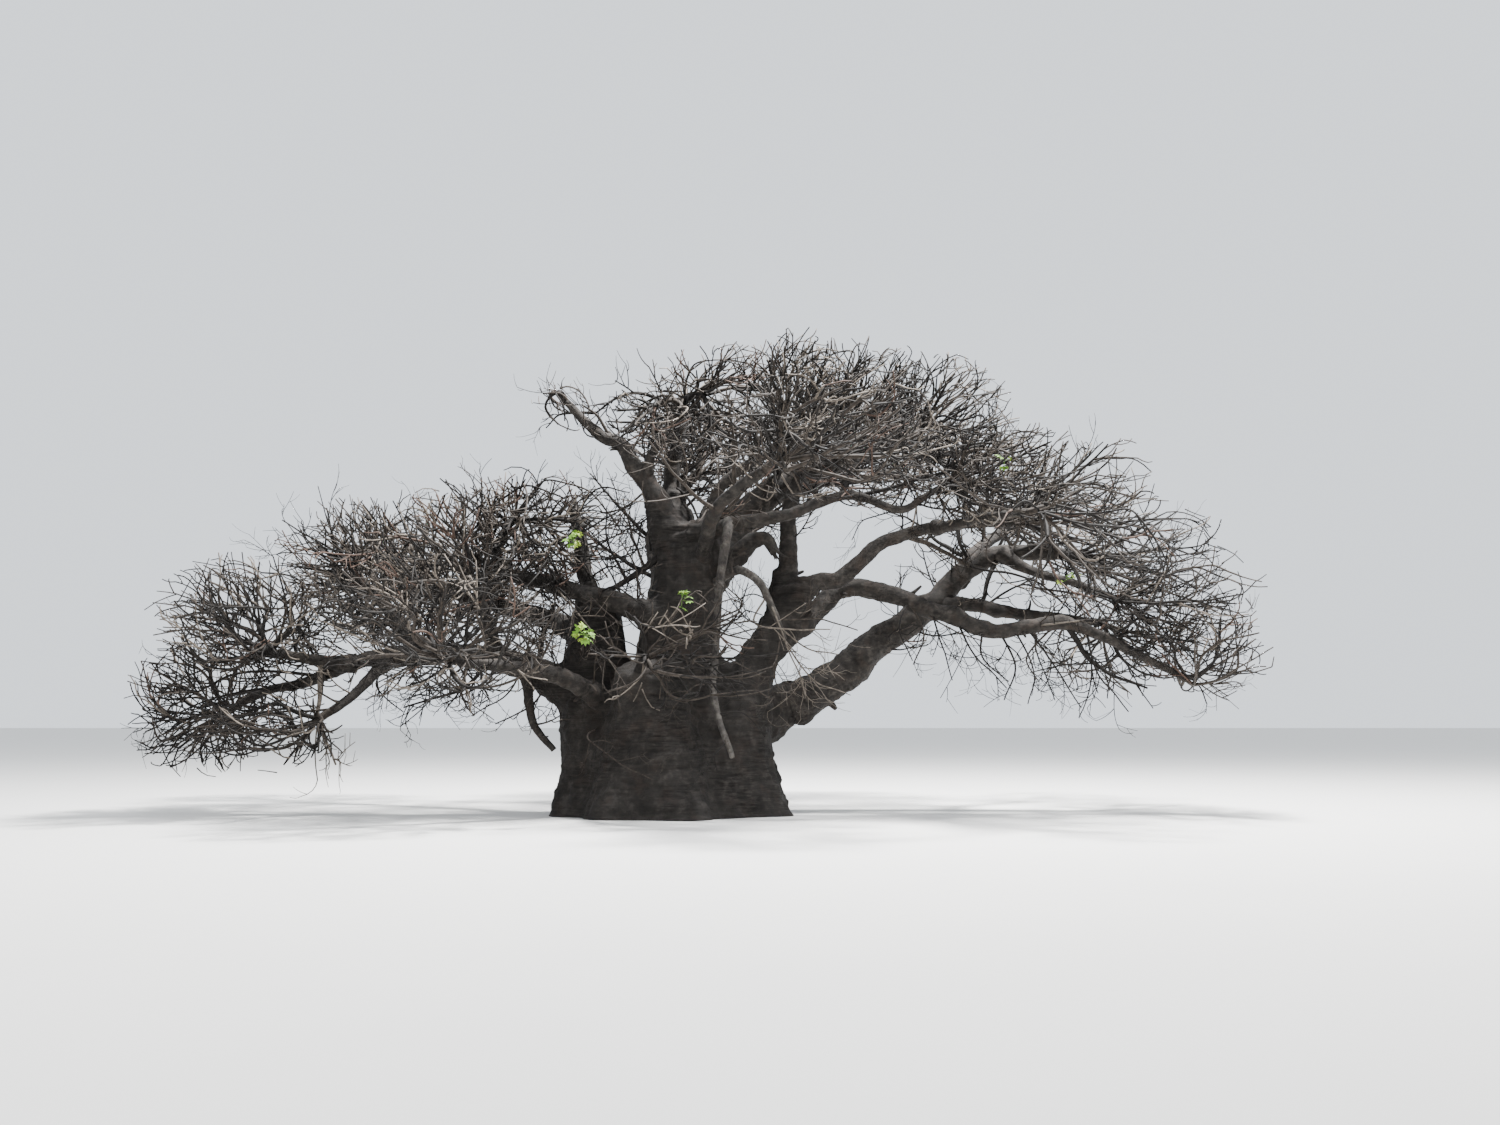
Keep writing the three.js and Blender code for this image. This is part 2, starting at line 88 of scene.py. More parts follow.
# Each stem's middle line: across, deep, up and radius.
STEMS = {
    "west": [[-620, -100, 20, 850], [-820, -50, 880, 550], [-950, 0, 1580, 440], [-920, 0, 2170, 360],
             [-940, 50, 2620, 290]],
    "middle": [[290, 100, 10, 1010], [290, 50, 870, 750], [210, 0, 1580, 620], [160, 0, 2170, 510],
               [240, 0, 2690, 460], [290, 0, 3270, 430], [350, 0, 3720, 390]],
    "east": [[790, -200, 30, 760], [870, -200, 880, 490], [1010, -150, 1640, 310], [1240, -100, 2100, 230],
             [1450, -50, 2460, 210], [1550, -50, 2750, 170]],
    "rear": [[130, 900, 0, 800], [70, 950, 860, 570], [10, 1000, 1600, 410], [-50, 1150, 2280, 300],
             [-120, 1300, 2840, 250]],
    "front": [[-120, -560, 20, 900], [-150, -600, 830, 700], [-230, -740, 1450, 430],
              [-370, -920, 1880, 230]],
}
# Each bough: name, parent, root and tip radius, and its line.
BOUGHS = [
    ["low_left_bough", "trunk", 193, 90, [[-1120, -100, 1530], [-1620, -150, 1760], [-2140, -200, 1900],
     [-2920, -200, 2020], [-3630, -150, 2000], [-4160, -100, 1880]]],
    ["low_left_reach", "low_left_bough", 88, 39, [[-4160, -100, 1880], [-4690, 0, 1690], [-5160, 50, 1580],
     [-5580, 100, 1380]]],
    ["prop_bough", "low_left_bough", 77, 53, [[-3580, -200, 1960], [-3780, -450, 1660], [-3990, -600, 1440],
     [-4170, -700, 1310]]],
    ["hanging_bough", "low_left_bough", 71, 38, [[-1810, -200, 1810], [-1720, -500, 1450],
     [-1610, -600, 1070], [-1390, -600, 820]]],
    ["far_left_bough", "low_left_bough", 90, 55, [[-4020, -100, 1920], [-4460, -300, 1950],
     [-4830, -500, 2020]]],
    ["left_riser", "low_left_bough", 97, 56, [[-3190, -200, 2000], [-3530, 250, 2350],
     [-3810, 450, 2700]]],
    ["mid_left_riser", "low_left_bough", 109, 62, [[-2230, -250, 1920], [-2210, -600, 2300],
     [-2310, -800, 2700]]],
    ["upper_left_bough", "trunk", 155, 53, [[10, -200, 2500], [-480, -450, 2620], [-970, -450, 2810],
     [-2090, 0, 3090], [-2290, 200, 3360], [-2180, 250, 3620]]],
    ["snag", "trunk", 133, 74, [[-1000, 200, 2500], [-1130, 420, 3100], [-1230, 470, 3590],
     [-1290, 470, 4000]]],
    ["left_back_bough", "trunk", 144, 80, [[-1050, 200, 2240], [-1720, 1000, 2580],
     [-2580, 1700, 2830], [-3380, 2200, 3050]]],
    ["left_front_bough", "trunk", 141, 60, [[-780, -250, 1380], [-1050, -900, 1640],
     [-1650, -1550, 1790], [-2300, -2050, 1880]]],
    ["left_leader", "trunk", 169, 45, [[60, -50, 3500], [-130, -100, 3980], [-340, -150, 4320],
     [-610, -200, 4780], [-830, -200, 4880], [-1320, -300, 5310]]],
    ["fork_leader", "left_leader", 65, 46, [[-310, -150, 4280], [-200, -300, 4590], [-40, -350, 4800],
     [80, -400, 5130]]],
    ["centre_leader", "trunk", 145, 80, [[150, 200, 3600], [60, 350, 4240], [90, 400, 4650],
     [170, 400, 5300]]],
    ["right_leader", "trunk", 84, 52, [[480, -150, 3520], [630, -250, 4030], [790, -300, 4280],
     [1040, -350, 4470], [1350, -350, 4670]]],
    ["main_top_bough", "trunk", 237, 74, [[560, 150, 3220], [990, 350, 3890], [1340, 400, 4210],
     [1800, 550, 4490], [2310, 600, 4710], [2850, 600, 4860]]],
    ["crossing_bough", "trunk", 103, 38, [[330, -300, 3570], [880, -620, 3710], [1510, -650, 3810],
     [2340, -600, 4060], [2970, -700, 3870], [3410, -750, 4090]]],
    ["broken_bough", "trunk", 182, 64, [[450, -100, 3000], [920, -250, 3320], [1100, -300, 3470],
     [1280, -350, 3500], [1400, -350, 3330]]],
    ["back_top_bough", "trunk", 192, 90, [[-80, 1200, 2600], [220, 1900, 3400], [710, 2400, 4020],
     [1370, 2750, 4420], [1970, 2950, 4640]]],
    ["back_left_bough", "trunk", 124, 66, [[-60, 1200, 2400], [-280, 1900, 3260], [-350, 2300, 3800],
     [-130, 2600, 4360], [180, 2700, 4680]]],
    ["front_top_bough", "trunk", 103, 62, [[430, -250, 3120], [560, -1000, 3600], [800, -1500, 3900],
     [1250, -1950, 4170]]],
    ["grey_arch", "trunk", 64, 37, [[520, -200, 2900], [990, -850, 3060], [1220, -950, 2870],
     [1490, -900, 2190]]],
    ["hanging_stem", "crossing_bough", 62, 32, [[800, -560, 3690], [790, -840, 3580],
     [720, -930, 3150], [650, -950, 2440], [630, -1250, 1560], [860, -1700, 760]]],
    ["right_upright", "trunk", 143, 79, [[1540, -20, 2620], [1530, 50, 3080], [1540, 100, 3550],
     [1620, 100, 4080], [1770, 0, 4460]]],
    ["right_arch", "trunk", 123, 51, [[1480, -70, 2520], [1870, -200, 2960], [2270, -220, 3030],
     [2750, -270, 3460], [3390, -300, 3660], [4330, -500, 3710]]],
    ["right_low_arch", "trunk", 142, 85, [[1340, -100, 2160], [2230, 240, 2870], [2650, 240, 2870],
     [3610, 0, 2590], [4180, -50, 2340], [5130, 0, 2460]]],
    ["right_low_reach", "right_low_arch", 83, 45, [[5130, 0, 2460], [5620, 0, 2300], [6140, 50, 2050],
     [6560, 50, 1820]]],
    ["great_right_bough", "trunk", 314, 81, [[810, 300, 960], [1600, 500, 1460], [2370, 650, 1900],
     [3430, 750, 2670], [4240, 750, 3390], [5270, 650, 3420]]],
    ["right_low_fork", "great_right_bough", 108, 54, [[3490, 750, 2740], [3950, 600, 2750],
     [4540, 550, 2630], [5090, 650, 2550], [5660, 800, 2510]]],
    ["fork_droop", "great_right_bough", 81, 42, [[4440, 700, 3430], [4810, 500, 3190], [5240, 350, 3040],
     [5680, 250, 2870]]],
    ["right_back_bough", "great_right_bough", 108, 70, [[3890, 800, 3080], [4250, 1500, 3530],
     [4700, 2100, 3880]]],
    ["right_front_bough", "right_arch", 71, 41, [[3460, -320, 3660], [3790, -1000, 3680],
     [4100, -1600, 3670], [4370, -2100, 3650]]],
]
# Each mass of twigs: name, bough, middle, half sizes, main buds, zone of pieces and fullness.
MASSES = [
    ["left_wisp_twigs", "left_leader", [-1330, -250, 5220], [320, 400, 330], 9, "top", 1.6],
    ["left_tuft_twigs", "fork_leader", [-90, -600, 4950], [680, 1100, 520], 18, "top", 1.15],
    ["crest_left_twigs", "centre_leader", [680, 500, 5360], [960, 1800, 710], 24, "top", 1.5],
    ["crest_middle_twigs", "right_leader", [1620, -500, 5260], [890, 1800, 770], 24, "top", 1.15],
    ["crest_right_twigs", "right_upright", [2500, 300, 5330], [900, 1900, 820], 25, "top", 1.0],
    ["crest_far_right_twigs", "main_top_bough", [3510, 500, 5090], [980, 1900, 850], 25, "top", 0.85],
    ["shoulder_twigs", "crossing_bough", [4110, -800, 4220], [920, 1700, 700], 23, "right", 0.95],
    ["right_shoulder_twigs", "right_arch", [5160, -400, 4010], [1030, 1800, 770], 24, "right", 0.26],
    ["right_middle_twigs", "great_right_bough", [6240, 900, 3390], [1120, 1900, 820], 24, "right", 0.10],
    ["right_outer_twigs", "fork_droop", [6550, -100, 2760], [950, 1800, 660], 22, "right", 0.20],
    ["right_lower_twigs", "right_low_fork", [6170, 1300, 2150], [1100, 1300, 610], 19, "right", 0.42],
    ["right_tip_twigs", "right_low_reach", [6940, 0, 2180], [730, 1500, 690], 22, "right", 0.26],
    ["right_back_twigs", "right_back_bough", [5500, 3000, 3950], [1530, 1700, 830], 22, "right", 0.14],
    ["right_front_twigs", "right_front_bough", [4880, -2600, 3170], [1120, 1600, 730], 23, "right", 0.14],
    ["back_top_twigs", "back_top_bough", [2750, 3100, 5230], [1650, 1800, 780], 22, "top", 0.8],
    ["back_left_twigs", "back_left_bough", [410, 3100, 5240], [1260, 1700, 710], 19, "top", 0.8],
    ["front_top_twigs", "front_top_bough", [1980, -2700, 4440], [1460, 1700, 680], 23, "top", 0.6],
    ["left_crest_twigs", "upper_left_bough", [-1690, 300, 3590], [1110, 1800, 810], 24, "left", 0.9],
    ["left_middle_twigs", "mid_left_riser", [-2560, -900, 3220], [1030, 1700, 840], 24, "left", 0.8],
    ["left_shoulder_twigs", "left_riser", [-4060, 500, 3150], [1070, 1800, 890], 24, "left", 0.9],
    ["far_left_twigs", "far_left_bough", [-5120, -700, 2440], [1110, 1600, 770], 22, "left", 0.8],
    ["far_left_tip_twigs", "low_left_reach", [-6050, 200, 1430], [820, 1500, 890], 23, "left", 0.95],
    ["left_droop_twigs", "prop_bough", [-4850, -1100, 1090], [950, 1000, 480], 14, "left", 1.2],
    ["left_back_twigs", "left_back_bough", [-3890, 2900, 3100], [1700, 1700, 890], 22, "left", 0.7],
    ["left_front_twigs", "left_front_bough", [-2460, -2600, 2230], [1360, 1600, 850], 24, "left", 0.55],
    ["front_skirt_twigs", "trunk", [300, -2250, 1900], [1150, 750, 720], 13, "left", 0.45],
]
SKIRT_ROOT = [-370, -900, 1700]
SKIRT_WAY = [-200, -1450, 1950]
SKIRT_RADIUS = 60

# Looks that the source leaves to the scene, lengths in metres: the trunk's.
STEM_SIDES = 56
TRUNK_VOXEL = 0.0255
CREASE_FILL = 0.05
LOW_CREASE_FILL = 0.13
CREASE_FOOT = 0.4
CREASE_FADE = 0.9
CUT_HEIGHT = 0.004
LUMP_HEIGHT = 0.040
FOLD_HEIGHT = 0.030
WRINKLE_HEIGHT = 0.027
KNOB_HEIGHT = 0.060
KNOB_LIMIT = 0.15
GRAIN_HEIGHT = 0.008
# Where the trunk's front is most wrinkled, across and up.
WRINKLED_FRONT = (0.05, 1.55)

# The boughs' looks.
RING_STEP = 0.03
THICK_BOUGH = 0.1
THICK_BOUGH_SIDES = 22
SLIM_BOUGH_SIDES = 16
TRUNK_COLLAR = 0.12
BOUGH_COLLAR = 0.45
COLLAR_REACH = 2.6
COLLAR_STEP = 0.05
COLLAR_SIDES = 20
CROOK = 0.030
CROOK_PER_RADIUS = 0.30
KNOBS_PER_METRE = 5.0
SPURS_PER_METRE = 1.3
SPRAYS_PER_METRE = 2.2
SPLINTERS = 7
DEAD_BOUGHS = ["grey_arch", "hanging_stem"]
BARE_BOUGHS = ["snag", "broken_bough"]
# Boughs that continue another one.
RUN_ON = {"low_left_reach": "low_left_bough", "right_low_reach": "right_low_arch"}

# The finer twigs' looks.
ZONES = ["left", "top", "right"]
TREE_MIDDLE = np.array([0.3, 0.0, 2.0])
FINE_TIP_RADIUS = 0.0122
SLIM_TWIG = 0.0155
MIDDLE_TWIG = 0.014
BEARING_TWIG = 0.024
THICK_TWIG = 0.03
SITE_STEP = 0.11
SITE_CROOK = 0.05
FINE_SITE_STEP = 0.13
FINE_BEND_COST = 1.0
FINE_LENGTH_COST = 0.55
BEND_REACH = 0.45
SAG = 0.06
FINE_SAG = 0.10
FINE_SWAY = 0.20
MOST_THICKENING = 0.5
BUDS_PER_CUBIC_METRE = 31
# An ellipsoid's volume over the product of its half sizes.
ELLIPSOID_SHARE = 4.19
FINE_SPACING = 0.60
FINE_IN = 0.10
FINE_OUT = 0.84
FINE_OVERLAP = 0.22
RAGGEDNESS = 0.24
BUD_ROOM = 0.03
LOWEST_BUD = 0.12
# Noise below this leaves a hole in the crown.
HOLE_NOISE = -0.22
SIDE_TWIG_SHARE = 0.17
SIDE_TWIG_LENGTHS = (0.22, 0.62)
# Forks of side twigs: first and last place, share, shortest, longest, and how far they turn aside.
TWIGLET_FORKS = [(1, 5, 0.19, 0.16, 0.44, 0.95), (5, 6, 0.6, 0.10, 0.22, 0.7)]
# Twigs on sprays and on forks: share, shortest and longest of each step.
SPRAY_STEPS = [(0.75, 0.16, 0.42), (0.45, 0.10, 0.26)]
FORK_STEPS = [(0.42, 0.14, 0.40), (0.25, 0.10, 0.26)]
SPRAY_LENGTHS = (0.2, 0.75)
SPRAY_RADIUS = 0.0075
FINER_RADIUS = 0.010
FORKS_PER_METRE = 4.5
FORK_SHARES = (0.22, 0.60)
FORK_RADIUS = 0.014
LONGEST_BEARER = 1.4
MASS_REACH = 1.16
BOX_ROOM = 0.02
TIP_ROOM = 0.02
LOWEST_TWIG = 0.1
LOWEST_TWIGLET = 0.05
# How often a twig gets each of the four twig materials.
TWIG_SHARES = [0.54, 0.31, 0.11, 0.04]
TINTS = 4000
SIDE_LIMB_STEP = 0.05
SIDE_LIMB_CROOK = 0.06
SPREAD_LENGTHS = (1.2, 2.2)
SPREAD_ROOT = 0.034
SPREAD_TIP = 0.009
# How far inside the source's box a spread limb ends, and how far over its bough's tip it may rise.
EDGE_ROOM = 0.35
LEAF_STALK_RADIUS = 0.0022
LEAFLET_LENGTHS = (0.065, 0.095)
LEAFLET_TURNS = [-78, -40, 0, 40, 78]
# Where the picture shows green leaves: column, row, and leaves in the tuft.
LEAF_TUFTS = [[585, 615, 15], [576, 543, 9], [684, 600, 8], [1005, 463, 4], [1068, 575, 4]]
# Half the floor's side, in metres.
FLOOR_HALF = 140.0

# The numbers of three of the four twig materials; the dark and the pale ones are partly painted shade and
# painted sunlight.
DARK = 0
BROWN = 1
PALE = 2
# Slender limbs among the twigs, in millimetres: bark, root and tip radius, then root, middle and tip.
SIDE_LIMBS = [
    [DARK, 34, 12, [[50, 300, 5300], [-500, 150, 5500], [-950, -100, 5200]]],
    [BROWN, 26, 12, [[-700, -200, 4800], [-900, -300, 5100], [-1100, -400, 5250]]],
    [BROWN, 22, 9, [[-1150, -300, 5250], [-1350, -350, 5400], [-1600, -400, 5400]]],
    [DARK, 22, 8, [[-1000, -200, 5150], [-1400, -150, 5200], [-1600, -100, 5000]]],
    [DARK, 25, 16, [[50, 350, 4350], [450, 250, 4650], [950, 0, 4950]]],
    [DARK, 18, 16, [[50, 350, 4300], [300, 100, 4050], [400, -100, 3800]]],
    [DARK, 30, 16, [[1050, 300, 4800], [700, 100, 5000], [450, 0, 5200]]],
    [DARK, 28, 18, [[1450, 450, 4250], [1100, 300, 4700], [1200, 200, 5150]]],
    [DARK, 26, 16, [[1500, 300, 4400], [1400, 200, 4850], [1800, 100, 5350]]],
    [DARK, 30, 14, [[1200, -350, 4550], [1900, -200, 4700], [2800, 0, 5500]]],
    [DARK, 38, 16, [[2200, -600, 4100], [2600, -400, 4750], [2800, -200, 5400]]],
    [DARK, 30, 12, [[2450, -600, 4050], [3400, -300, 4350], [4500, 0, 4750]]],
    [DARK, 22, 11, [[3400, -300, 4350], [3950, -150, 4150], [4500, 0, 3800]]],
    [DARK, 16, 8, [[4300, 0, 4600], [4250, 150, 5000], [4250, 300, 5450]]],
    [DARK, 30, 24, [[3750, -250, 3750], [3850, 300, 3500], [4000, 650, 3350]]],
    [BROWN, 38, 22, [[3050, -200, 3600], [3500, 150, 3450], [4000, 550, 3250]]],
    [DARK, 36, 26, [[4400, 700, 3350], [4250, 650, 3050], [4200, 600, 2800]]],
    [DARK, 42, 24, [[4500, 650, 3450], [5000, 600, 3500], [5700, 600, 3200]]],
    [DARK, 20, 9, [[4150, 600, 3300], [4800, 450, 3050], [5350, 300, 2600]]],
    [DARK, 18, 9, [[4200, 500, 2750], [4700, 500, 3000], [5100, 500, 2850]]],
    [DARK, 24, 8, [[4350, -500, 3650], [5000, -500, 4200], [5600, -500, 4750]]],
    [DARK, 28, 10, [[4850, 400, 3200], [5650, 200, 2850], [6550, 0, 2450]]],
    [DARK, 20, 8, [[5450, 600, 3400], [6100, 400, 3300], [6700, 200, 2900]]],
    [DARK, 20, 9, [[5750, 0, 2250], [6250, -50, 2700], [6550, -100, 3600]]],
    [DARK, 14, 8, [[6150, 0, 2100], [6650, -100, 2500], [7050, -200, 2850]]],
    [BROWN, 13, 8, [[6150, -50, 2550], [6900, -50, 2450], [7600, 0, 2550]]],
    [BROWN, 14, 8, [[5350, -450, 3450], [6000, -400, 3650], [6650, -300, 3650]]],
    [DARK, 46, 13, [[5150, 0, 2400], [5500, -100, 1900], [6150, -300, 1600]]],
    [DARK, 14, 8, [[6700, 50, 1800], [6900, 50, 1650], [7000, 50, 1400]]],
    [DARK, 13, 7, [[5500, -100, 1950], [5100, -200, 1900], [4650, -300, 1800]]],
    [DARK, 14, 7, [[4900, 600, 2600], [4850, 300, 2150], [5000, -100, 1450]]],
    [DARK, 10, 6, [[2900, -700, 3850], [2500, -750, 3700], [2350, -800, 3450]]],
    [DARK, 16, 8, [[3700, 0, 2550], [3950, -200, 2050], [4350, -300, 1600]]],
    [DARK, 16, 8, [[4300, -50, 2350], [4500, -200, 1900], [4300, -400, 1450]]],
    [DARK, 16, 8, [[4700, 0, 2350], [5000, -200, 1850], [5300, -300, 1350]]],
    [DARK, 16, 8, [[4100, 0, 2450], [4150, 300, 2000], [4500, 500, 1700]]],
    [BROWN, 16, 8, [[5000, 0, 2400], [4700, 300, 2000], [4900, 500, 1700]]],
    [BROWN, 15, 8, [[3150, 100, 2750], [3300, -200, 2300], [3150, -400, 1900]]],
    [DARK, 52, 30, [[-50, -150, 3350], [-500, -300, 3000], [-900, -400, 2750]]],
    [BROWN, 20, 8, [[-350, -200, 3200], [-500, 0, 3650], [-600, 100, 4100]]],
    [DARK, 18, 8, [[-550, -300, 3000], [-750, -200, 3450], [-800, -100, 3950]]],
    [BROWN, 16, 8, [[-450, -200, 3100], [-350, -400, 2850], [-400, -600, 2550]]],
    [DARK, 14, 7, [[-1250, 450, 3650], [-900, 400, 3850], [-350, 200, 4100]]],
    [BROWN, 14, 7, [[-1200, 450, 3500], [-750, 250, 3600], [-250, -100, 3850]]],
    [DARK, 14, 7, [[-1200, 450, 3300], [-750, 300, 3350], [-300, 0, 3450]]],
    [DARK, 14, 7, [[-1100, 400, 3050], [-800, 200, 3200], [-350, -200, 3000]]],
    [DARK, 16, 7, [[-1250, 450, 3950], [-950, 200, 4250], [-500, -100, 4150]]],
    [BROWN, 16, 7, [[-250, -100, 4200], [-550, -100, 3950], [-900, -300, 3850]]],
    [DARK, 42, 9, [[-2050, 0, 3100], [-2350, 150, 3600], [-2500, 300, 4400]]],
    [DARK, 32, 9, [[-2300, 100, 3400], [-1900, -50, 3900], [-1600, -200, 4300]]],
    [DARK, 26, 9, [[-2250, 0, 3100], [-2700, 50, 3450], [-2850, 100, 3900]]],
    [DARK, 44, 30, [[-1650, -150, 1800], [-1600, -150, 2250], [-1450, -200, 2700]]],
    [BROWN, 40, 28, [[-2250, -250, 2000], [-2200, -200, 2450], [-2100, -200, 2850]]],
    [DARK, 20, 12, [[-2600, -300, 2050], [-2500, -350, 2600], [-2250, -400, 2950]]],
    [BROWN, 24, 10, [[-3300, -100, 2200], [-3200, -150, 2700], [-2350, -300, 3100]]],
    [DARK, 38, 9, [[-3950, 550, 2850], [-4400, 400, 3500], [-4550, 300, 4000]]],
    [DARK, 30, 9, [[-3950, 500, 2850], [-4200, 400, 3300], [-3400, 200, 3900]]],
    [DARK, 18, 8, [[-4350, 450, 3250], [-4550, 300, 3500], [-5050, 0, 3800]]],
    [DARK, 20, 8, [[-4700, -400, 2000], [-4850, -500, 2800], [-4950, -700, 3250]]],
    [DARK, 20, 8, [[-4950, -600, 2100], [-5550, -700, 2300], [-6150, -800, 2650]]],
    [PALE, 38, 12, [[-4500, -200, 1850], [-4350, -550, 1100], [-4050, -900, 650]]],
    [DARK, 30, 10, [[-2100, -400, 2050], [-2450, -950, 1600], [-3100, -1500, 1350]]],
    [BROWN, 24, 9, [[-2500, -400, 2000], [-2550, -800, 1550], [-2300, -1200, 1250]]],
    [DARK, 26, 9, [[-2700, -400, 2000], [-2900, -900, 1750], [-3200, -1400, 1550]]],
    [BROWN, 15, 7, [[-2500, -300, 1950], [-2850, -450, 1650], [-3200, -500, 1550]]],
    [DARK, 15, 7, [[-3050, -200, 1900], [-3450, -250, 1750], [-3650, -300, 1450]]],
    [DARK, 18, 8, [[-2800, -300, 2000], [-2500, -700, 1650], [-2700, -1000, 1300]]],
    [BROWN, 18, 8, [[-3400, -200, 2000], [-3100, -600, 1700], [-2700, -900, 1500]]],
    [DARK, 16, 8, [[-2100, -150, 1900], [-2500, 200, 1600], [-3000, 400, 1400]]],
    [BROWN, 16, 8, [[-1500, -100, 1700], [-1700, -500, 1350], [-2100, -800, 1150]]],
    [DARK, 15, 8, [[-3500, -100, 1950], [-3800, 200, 1600], [-3500, 400, 1300]]],
    [BROWN, 14, 7, [[-1850, -300, 1850], [-2000, -400, 1550], [-2450, -500, 1250]]],
    [BROWN, 14, 8, [[-2100, -450, 2600], [-1700, -550, 2650], [-1400, -600, 2550]]],
    [BROWN, 14, 8, [[-1450, -200, 2700], [-900, -650, 2150], [-750, -1100, 1800]]],
    [BROWN, 13, 8, [[-1050, -200, 2550], [-750, -600, 2750], [-450, -900, 2700]]],
    [DARK, 20, 8, [[-2100, -450, 2600], [-1700, -700, 2450], [-1150, -900, 2250]]],
    [BROWN, 16, 8, [[-2250, -600, 2350], [-1800, -800, 2250], [-1350, -1000, 1950]]],
    [DARK, 18, 8, [[-1600, -450, 3000], [-1250, -700, 2800], [-950, -900, 2450]]],
    [DARK, 16, 7, [[-2000, -100, 3050], [-1650, -500, 2850], [-1300, -800, 2600]]],
    [PALE, 14, 7, [[-1500, -450, 2850], [-1150, -800, 2650], [-850, -1050, 2250]]],
    [DARK, 16, 7, [[-1800, -500, 2650], [-1500, -800, 2500], [-1500, -1050, 2150]]],
    [BROWN, 14, 7, [[-1000, -450, 2800], [-800, -800, 2600], [-500, -1000, 2350]]],
    [DARK, 14, 7, [[-900, -450, 2800], [-600, -750, 2850], [-250, -900, 2600]]],
    [DARK, 14, 7, [[-500, -450, 2650], [-650, -500, 3000], [-900, -500, 3400]]],
    [BROWN, 14, 7, [[-350, -400, 2650], [-400, -450, 3050], [-600, -500, 3500]]],
    [DARK, 14, 7, [[-150, -150, 3900], [-450, -300, 3700], [-750, -400, 3700]]],
    [DARK, 13, 7, [[-200, -150, 3600], [-450, -300, 3350], [-800, -400, 3250]]],
    [PALE, 12, 7, [[1450, -900, 2350], [1750, -1050, 2100], [2150, -1150, 2000]]],
    [DARK, 22, 8, [[5150, 600, 3400], [6000, 300, 3000], [6900, 0, 2300]]],
    [BROWN, 18, 8, [[5400, 550, 3350], [6200, 200, 3000], [7200, -200, 2600]]],
    [DARK, 20, 8, [[5600, 0, 2300], [6300, -200, 2300], [7150, -400, 2100]]],
    [DARK, 18, 8, [[5050, -50, 2450], [5900, -300, 2450], [6800, -500, 2000]]],
    [BROWN, 16, 8, [[4900, 500, 3000], [5700, 100, 2700], [6500, -200, 2050]]],
    [DARK, 16, 8, [[5300, 300, 2950], [6100, 0, 2600], [6850, -200, 1900]]],
    [DARK, 15, 7, [[5200, -450, 3500], [6100, -500, 3150], [7000, -500, 2750]]],
    [BROWN, 14, 7, [[6300, 100, 1950], [6800, 0, 1800], [7250, -50, 1500]]],
    [DARK, 24, 8, [[-4500, -50, 1800], [-5400, -200, 1800], [-6350, -300, 1350]]],
    [BROWN, 18, 8, [[-4350, -100, 1850], [-5200, -400, 2150], [-6100, -600, 1950]]],
    [DARK, 20, 8, [[-4700, -350, 2000], [-5500, -400, 1950], [-6500, -300, 1550]]],
    [DARK, 18, 8, [[-4900, -50, 1600], [-5700, -300, 1500], [-6600, -400, 1050]]],
    [BROWN, 16, 7, [[-4150, -650, 1350], [-4900, -900, 1300], [-5900, -1000, 850]]],
    [DARK, 16, 7, [[-5100, 0, 1600], [-5800, 100, 1250], [-6300, 200, 700]]],
    [DARK, 14, 7, [[600, -100, 2150], [900, -250, 2550], [1050, -350, 2950]]],
    [DARK, 12, 6, [[1350, -100, 2400], [1000, -250, 2500], [750, -350, 2850]]],
    [BROWN, 12, 6, [[500, -200, 2500], [850, -300, 2450], [1100, -400, 2250]]],
    [DARK, 12, 6, [[1500, -50, 2600], [1150, -250, 2800], [850, -350, 2700]]],
    [BROWN, 11, 6, [[650, -1100, 2000], [950, -1300, 1900], [1250, -1450, 1700]]],
    [BROWN, 11, 6, [[650, -1200, 1650], [400, -1450, 1600], [150, -1600, 1350]]],
    [DARK, 11, 6, [[700, -1400, 1300], [1000, -1600, 1250], [1250, -1700, 1000]]],
    [BROWN, 10, 6, [[700, -950, 2900], [500, -1100, 2750], [350, -1200, 2450]]],
    [DARK, 10, 6, [[800, -1600, 950], [650, -1750, 800], [500, -1850, 550]]],
    [BROWN, 12, 7, [[1400, -900, 2450], [1900, -1000, 2450], [2400, -1100, 2300]]],
    [PALE, 12, 6, [[1500, -900, 2200], [1850, -1100, 1700], [2300, -1200, 1500]]],
    [BROWN, 11, 6, [[1450, -900, 2300], [1400, -1200, 1700], [1700, -1400, 1300]]],
    [DARK, 14, 7, [[3450, 0, 2600], [3500, -250, 2200], [3650, -350, 1700]]],
    [DARK, 14, 7, [[3100, 50, 2750], [3000, -250, 2350], [3150, -300, 1950]]],
    [BROWN, 13, 7, [[3300, 50, 2650], [3650, -200, 2350], [4050, -300, 2200]]],
    [DARK, 16, 8, [[5400, 0, 2300], [5500, -200, 1850], [5900, -300, 1300]]],
    [DARK, 14, 7, [[4500, -50, 2350], [4700, -250, 1800], [4600, -400, 1400]]],
    [BROWN, 12, 8, [[650, -950, 2450], [950, -1150, 2600], [750, -1400, 2850]]],
    [PALE, 13, 7, [[1250, -950, 2750], [1150, -1000, 2400], [2050, -1300, 2300]]],
    [PALE, 13, 7, [[1300, -950, 2650], [1550, -1100, 2050], [1750, -1300, 1500]]],
    [BROWN, 12, 6, [[-900, -700, 1450], [-800, -1100, 2050], [-350, -1500, 1500]]],
    [BROWN, 12, 6, [[-450, -1100, 1550], [-100, -1250, 2150], [700, -1400, 2300]]],
    [BROWN, 11, 6, [[-850, -550, 1100], [-900, -1000, 950], [-100, -1700, 500]]],
]
# How many more limbs leave each bough that spreads to the back or the front.
SPREAD_LIMBS = {
    "left_back_bough": 8, "back_left_bough": 9, "back_top_bough": 10, "right_back_bough": 3,
    "left_front_bough": 3, "front_top_bough": 4, "right_front_bough": 2,
}


